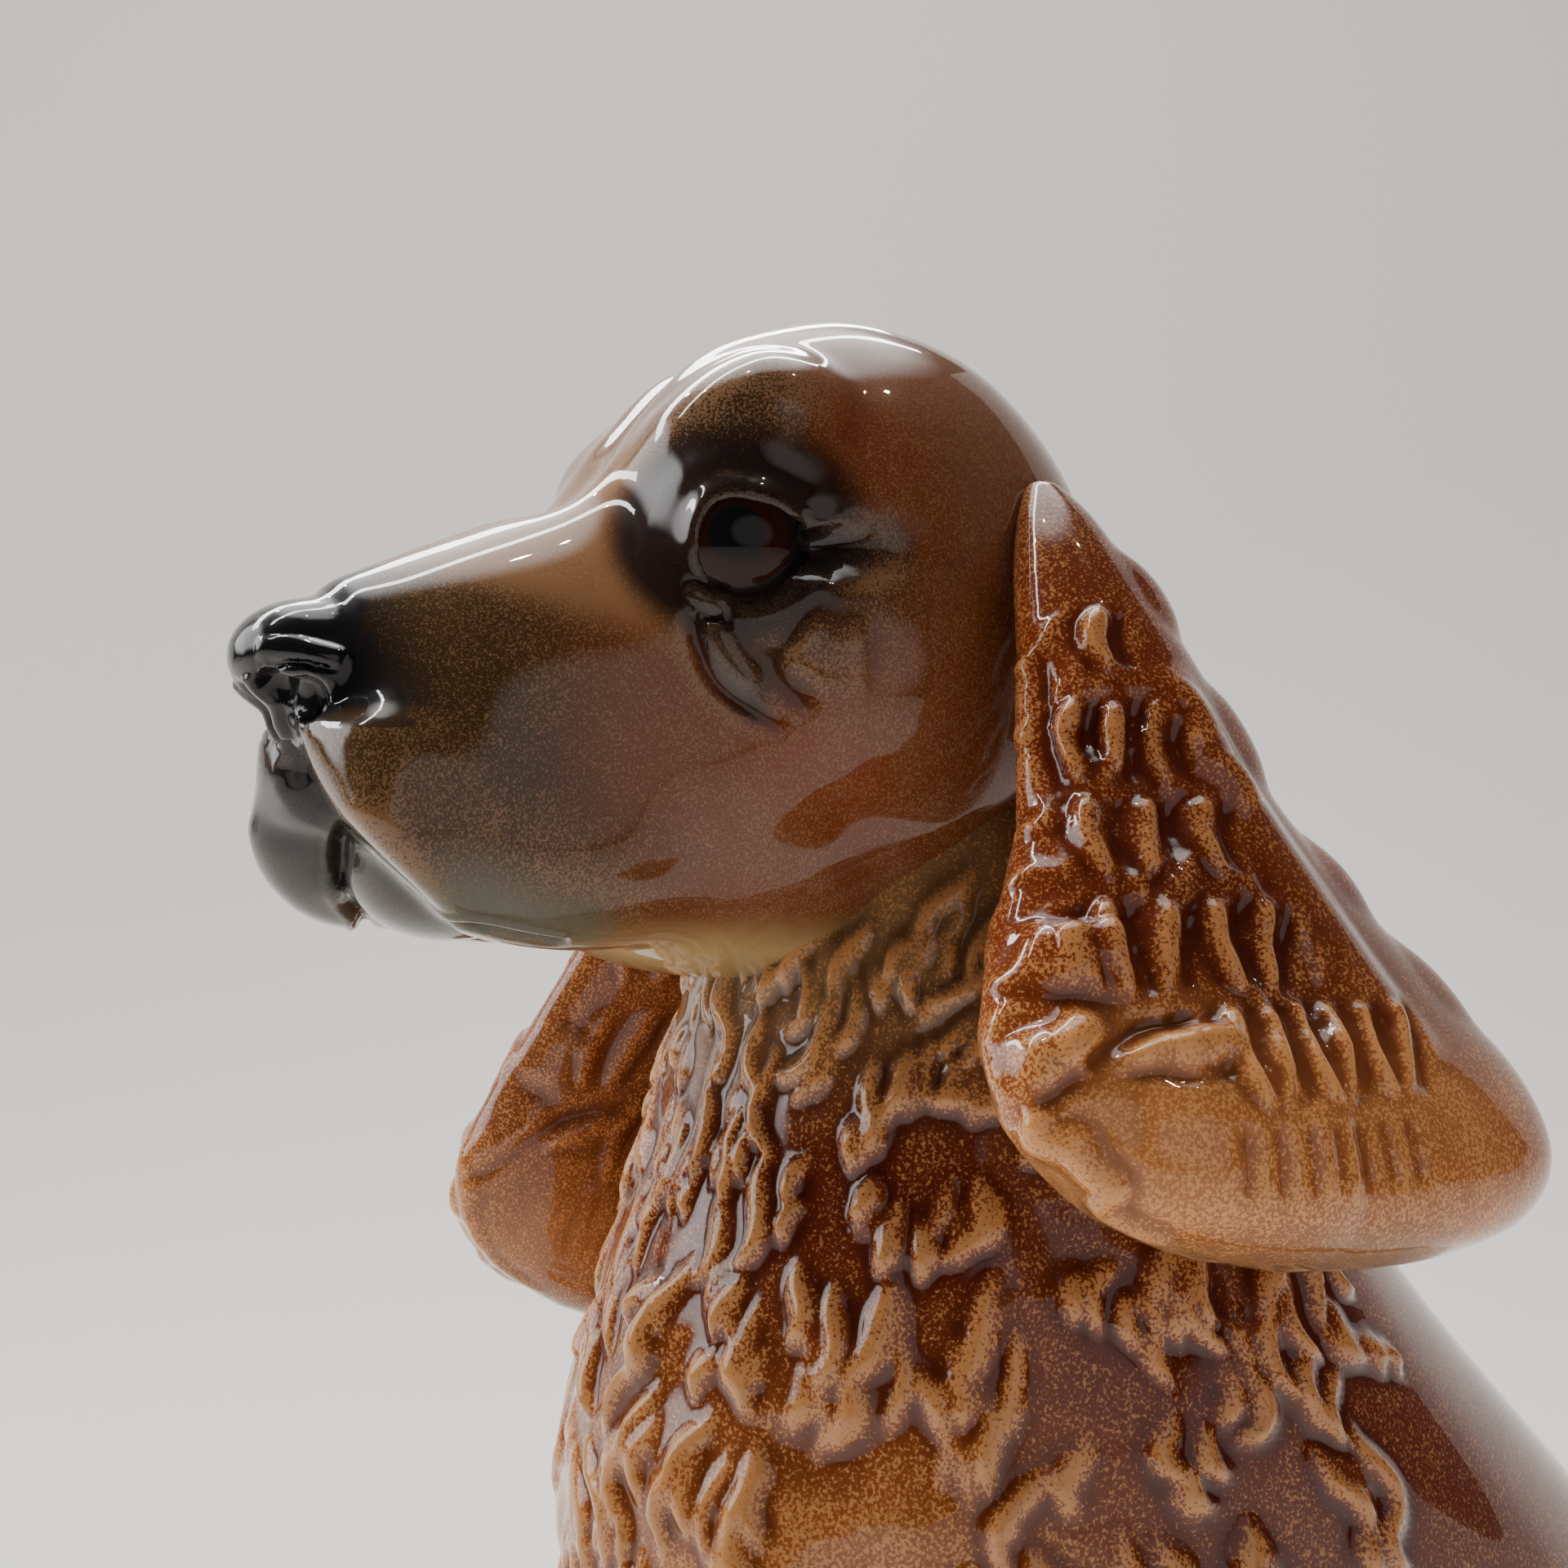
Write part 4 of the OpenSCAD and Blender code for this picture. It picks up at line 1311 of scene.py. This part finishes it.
class SPANIEL_OT_legs(bpy.types.Operator):
    """Models the two forelegs and the two folded hind legs"""
    bl_idname = "spaniel.legs"
    bl_label = "Legs"

    def execute(self, context):
        sizes = context.scene.spaniel_sizes
        colours = context.scene.spaniel_colours
        for side, name in ((1, "left"), (-1, "right")):
            for node, rolls, foot, dress in (("foreleg_" + name, FORELEG_ROLLS, FORE_TOES, self.feathering),
                                             ("hind_leg_" + name, HIND_LEG_ROLLS, HIND_TOES, self.haunch)):
                parts = [part for roll in rolls for part in limb(roll, side)]
                parts += [part for toe in toe_paths(foot, side) for part in limb(toe, 1, 12)]
                clay = Clay(join(node + "_sculpt", parts))
                clay.remesh(LEG_ROUGH)
                clay.relax(5)
                clay.at[:, 2] = np.maximum(clay.at[:, 2], 0.5)
                clay.remesh(sizes.leg_grain / MM)
                clay.relax(2)
                paw(clay, foot, side)
                raised = dress(clay, side, sizes)
                clay.at[:, 2] = np.maximum(clay.at[:, 2], 0.4)
                clay.settle()
                leg_colours(clay, raised, foot, side)
                finished(clay.obj, body_glaze(colours), [node])
        return {"FINISHED"}

    def feathering(self, clay, side, sizes):
        """Long locks down the back of a foreleg, and shorter ones round its top."""
        rng = np.random.default_rng(23 + side)
        places = []
        for z in np.arange(24, 120, 5.5):
            middle = np.interp(z, [24, 44, 84, 120], [-56, -48, -40, -34])
            places += [(side * (26 + out), middle + back + rng.uniform(-1, 1), z + rng.uniform(-2, 2))
                       for out, back in ((-9, 2), (-4, 7), (1, 9), (6, 7), (11, 2), (15, -5))]
        for z in np.arange(74, 128, 6):
            wide = np.interp(z, [74, 128], [8, 26])
            places += [(side * 50, -44 - step, z + rng.uniform(-2, 2)) for step in np.arange(4, wide, 6)]
        return tuft(clay, rng, places, lambda p: side * np.interp(p[1], [-64, -50, -40], [14, 4, -6]), 13,
                    sizes.lock_width / MM, sizes.lock_height / MM * 0.9)

    def haunch(self, clay, side, sizes):
        """Feathering down the back of the thigh and over the hock."""
        rng = np.random.default_rng(29 + side)
        places = []
        for y in np.arange(20, 92, 6):
            high = np.interp(y, [20, 45, 90], [28, 40, 62])
            places += [(side * 62, y + rng.uniform(-2, 2), z + rng.uniform(-2, 2))
                       for z in np.arange(20, high, 6)]
        places += [(side * (34 + out), 94, z) for z in np.arange(24, 62, 6) for out in (-10, -3, 4, 11)]
        return tuft(clay, rng, places, lambda p: side * np.interp(p[1], [16, 50, 90], [34, 20, 8]), 13,
                    sizes.lock_width / MM, sizes.lock_height / MM * 0.9)


class SPANIEL_OT_tail(bpy.types.Operator):
    """Models the docked tail"""
    bl_idname = "spaniel.tail"
    bl_label = "Tail"

    def execute(self, context):
        sizes = context.scene.spaniel_sizes
        clay = Clay(join("tail_sculpt", limb(TAIL_ROLL, 1)))
        clay.remesh(sizes.leg_grain / MM)
        clay.relax(4)
        rng = np.random.default_rng(31)
        places = [(12 * math.sin(a), 100 + 14 * math.cos(a), z + rng.uniform(-1.5, 1.5))
                  for z in np.arange(16, 44, 5) for a in np.radians(np.arange(-100, 101, 25))]
        raised = tuft(clay, rng, places, lambda p: 180 - 2 * p[0], 9, sizes.lock_width / MM * 0.9,
                      sizes.lock_height / MM * 0.8, (2, 4))
        spray = Spray(clay, (0.16, 0.036, 0.012), 0.45)
        spray.cover(0.5 * smooth_step(0.0, 0.5, raised), (0.25, 0.07, 0.02), 0.85)
        spray.cover(0.6 * smooth_step(38, 48, clay.at[:, 2]), (0.36, 0.13, 0.04), 0.9)
        spray.keep(clay.relief(3, 3.0))
        finished(clay.obj, body_glaze(context.scene.spaniel_colours), ["tail"])
        return {"FINISHED"}


class SPANIEL_OT_eyes(bpy.types.Operator):
    """Models the two glossy eyes"""
    bl_idname = "spaniel.eyes"
    bl_label = "Eyes"

    def execute(self, context):
        colours = context.scene.spaniel_colours
        radius = context.scene.spaniel_sizes.eyeball / MM
        for side, name in ((1, "eye_left"), (-1, "eye_right")):
            obj = ball(EYE_CENTRE * (side, 1, 1), (radius, radius, radius))
            obj.name = name + "_sculpt"
            subdivide(obj, 2)
            clay = Clay(obj)
            gaze = np.array((side * 0.9, -0.42, 0.02))
            gaze /= np.linalg.norm(gaze)
            off = np.degrees(np.arccos(np.clip(clay.out @ gaze, -1, 1)))
            spray = Spray(clay, colours.black, 0)
            spray.cover(1 - smooth_step(36, 50, off), colours.iris)
            spray.cover(1 - smooth_step(19, 25, off), colours.black)
            spray.keep(np.full(len(clay.at), 0.5))
            finished(obj, glaze("eye_glaze_" + name, **EYE_GLAZE), [name])
        return {"FINISHED"}


class SPANIEL_OT_slab(bpy.types.Operator):
    """Gives the foot slab its bare clay"""
    bl_idname = "spaniel.slab"
    bl_label = "Foot slab"

    def execute(self, context):
        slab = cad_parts["base_slab"]
        slab.data.materials.clear()
        slab.data.materials.append(bisque("bare_clay", tuple(context.scene.spaniel_colours.clay)))
        return {"FINISHED"}


class SPANIEL_OT_stage(bpy.types.Operator):
    """Sets out the floor, the wall, the lights and the camera"""
    bl_idname = "spaniel.stage"
    bl_label = "Stage"

    def execute(self, context):
        self.room()
        self.lights()
        self.camera()
        return {"FINISHED"}

    def card(self, name, centre, size, facing):
        """A flat black board facing a point."""
        deselect()
        bpy.ops.mesh.primitive_plane_add(size=1)
        obj = bpy.context.object
        obj.name = name
        aim = (Vector(facing) - Vector(centre)).to_track_quat("Z", "Y")
        turn = aim.to_matrix().to_4x4()
        obj.matrix_world = Matrix.Translation(centre) @ turn @ Matrix.Diagonal((*size, 1, 1))
        bpy.ops.object.transform_apply(location=True, rotation=True, scale=True)
        material = bpy.data.materials.new(name + "_paint")
        material.use_nodes = True
        shader = material.node_tree.nodes["Principled BSDF"]
        shader.inputs["Roughness"].default_value = 0.9
        shader.inputs["Specular IOR Level"].default_value = 0.1
        shader.inputs["Base Color"].default_value = (0, 0, 0, 1)
        obj.data.materials.append(material)
        return obj

    def room(self):
        """A pale sheet that sweeps up from the floor without a line."""
        deselect()
        bpy.ops.mesh.primitive_grid_add(x_subdivisions=2, y_subdivisions=60, size=2)
        sweep = bpy.context.object
        sweep.name = "sweep"
        bend, start, turn = 0.9, 0.5, math.radians(CAMERA_TURN)
        back = np.array((-math.sin(turn), math.cos(turn)))
        along = np.array((back[1], -back[0]))
        for vertex in sweep.data.vertices:
            run = 1.0 + vertex.co.y * 2.6
            arc = min(max(run - start, 0) / bend, math.pi / 2)
            rise = max(run - start - bend * math.pi / 2, 0)
            reach = min(run, start) + bend * math.sin(arc)
            level = bend * (1 - math.cos(arc)) + rise
            spot = back * reach + along * vertex.co.x * 4
            vertex.co = (spot[0], spot[1], level)
        activate(sweep)
        bpy.ops.object.shade_smooth()
        material = bpy.data.materials.new("sweep_paper")
        material.use_nodes = True
        shader = material.node_tree.nodes["Principled BSDF"]
        shader.inputs["Base Color"].default_value = PAPER
        shader.inputs["Roughness"].default_value = 0.95
        shader.inputs["Specular IOR Level"].default_value = 0
        shader.inputs["Emission Color"].default_value = PAPER
        shader.inputs["Emission Strength"].default_value = 0.72
        sweep.data.materials.append(material)
        world = bpy.data.worlds.new("studio")
        world.use_nodes = True
        world.node_tree.nodes["Background"].inputs["Color"].default_value = (0.75, 0.76, 0.8, 1)
        world.node_tree.nodes["Background"].inputs["Strength"].default_value = 0.07
        bpy.context.scene.world = world

    def lamp(self, name, place, target, size, power, colour=(1, 1, 1)):
        light = bpy.data.lights.new(name, "AREA")
        light.shape = "RECTANGLE"
        light.size, light.size_y = size
        light.energy = power
        light.color = colour
        obj = bpy.data.objects.new(name, light)
        bpy.context.collection.objects.link(obj)
        aim = (Vector(target) - Vector(place)).to_track_quat("-Z", "Y")
        obj.matrix_world = Matrix.Translation(place) @ aim.to_matrix().to_4x4()

    def softbox(self, name, place, target, size, strength, colour=(1, 1, 1)):
        """A glowing sheet that fades toward its edges, so that its reflection has no hard outline."""
        sheet = self.card(name, place, size, target)
        sheet.visible_camera = False
        tree = sheet.data.materials[0].node_tree
        shader = tree.nodes["Principled BSDF"]
        spread = add_node(tree, "UVMap")
        centred = add_node(tree, "VectorMath")
        centred.operation = "SUBTRACT"
        centred.inputs[1].default_value = (0.5, 0.5, 0)
        length = add_node(tree, "VectorMath")
        length.operation = "LENGTH"
        fade = add_node(tree, "MapRange", {"From Min": 0.5, "From Max": 0.3, "To Min": 0, "To Max": strength})
        fade.interpolation_type = "SMOOTHSTEP"
        link(tree, spread.outputs["UV"], centred.inputs[0])
        link(tree, centred.outputs["Vector"], length.inputs[0])
        link(tree, length.outputs["Value"], fade.inputs["Value"])
        link(tree, fade.outputs["Result"], shader.inputs["Emission Strength"])
        shader.inputs["Emission Color"].default_value = (*colour, 1)

    def lights(self):
        target = LIT_SPOT
        self.lamp("ceiling_strip", (-0.5, -0.15, 0.75), target, (1.1, 0.09), 6)
        self.lamp("second_strip", (-0.25, -0.1, 0.85), target, (1.0, 0.04), 3)
        self.softbox("ceiling", (-0.5, 0.1, 1.7), target, (1.8, 1.8), 3.2, (1, 0.99, 0.97))
        self.softbox("front_left", (-0.9, -1.4, 0.9), target, (1.6, 1.6), 4.2)
        self.softbox("pale_room", (2.0, -0.1, 0.75), target, (3.0, 2.2), 0.7, (1, 0.93, 0.9))
        for k, place in enumerate(CEILING_SPOTS):
            self.lamp("ceiling_spot_%d" % k, place, target, (0.02, 0.02), 0.5, (1, 0.85, 0.65))

    def camera(self):
        data = bpy.data.cameras.new("camera")
        data.lens, data.sensor_width = FOCAL_LENGTH, SENSOR_WIDTH
        data.clip_start = 0.01
        obj = bpy.data.objects.new("camera", data)
        bpy.context.collection.objects.link(obj)
        turn, pitch = math.radians(CAMERA_TURN), math.radians(CAMERA_TILT)
        ahead = Vector((-math.sin(turn) * math.cos(pitch), math.cos(turn) * math.cos(pitch), math.sin(pitch)))
        aim = ahead.to_track_quat("-Z", "Y").to_matrix().to_4x4()
        obj.matrix_world = Matrix.Translation(CAMERA_PLACE) @ aim
        bpy.context.scene.camera = obj


STEPS = (SPANIEL_OT_head, SPANIEL_OT_ears, SPANIEL_OT_torso, SPANIEL_OT_legs, SPANIEL_OT_tail,
         SPANIEL_OT_eyes, SPANIEL_OT_slab, SPANIEL_OT_stage)


class SPANIEL_PT_panel(bpy.types.Panel):
    """The figurine's colours, sizes and steps"""
    bl_idname = "SPANIEL_PT_panel"
    bl_label = "Spaniel"
    bl_space_type = "VIEW_3D"
    bl_region_type = "UI"
    bl_category = "Spaniel"

    def draw(self, context):
        for group in (context.scene.spaniel_colours, context.scene.spaniel_sizes):
            box = self.layout.box()
            for name in group.__annotations__:
                box.prop(group, name)
        for step in STEPS:
            self.layout.operator(step.bl_idname)


CLASSES = (GlazeColours, ModellingSizes, *STEPS, SPANIEL_PT_panel)


def register():
    for cls in CLASSES:
        bpy.utils.register_class(cls)
    bpy.types.Scene.spaniel_colours = bpy.props.PointerProperty(type=GlazeColours)
    bpy.types.Scene.spaniel_sizes = bpy.props.PointerProperty(type=ModellingSizes)


def unregister():
    del bpy.types.Scene.spaniel_sizes
    del bpy.types.Scene.spaniel_colours
    for cls in reversed(CLASSES):
        bpy.utils.unregister_class(cls)


def main():
    register()
    for step in STEPS:
        family, name = step.bl_idname.split(".")
        getattr(getattr(bpy.ops, family), name)()


if __name__ == "__main__":
    main()
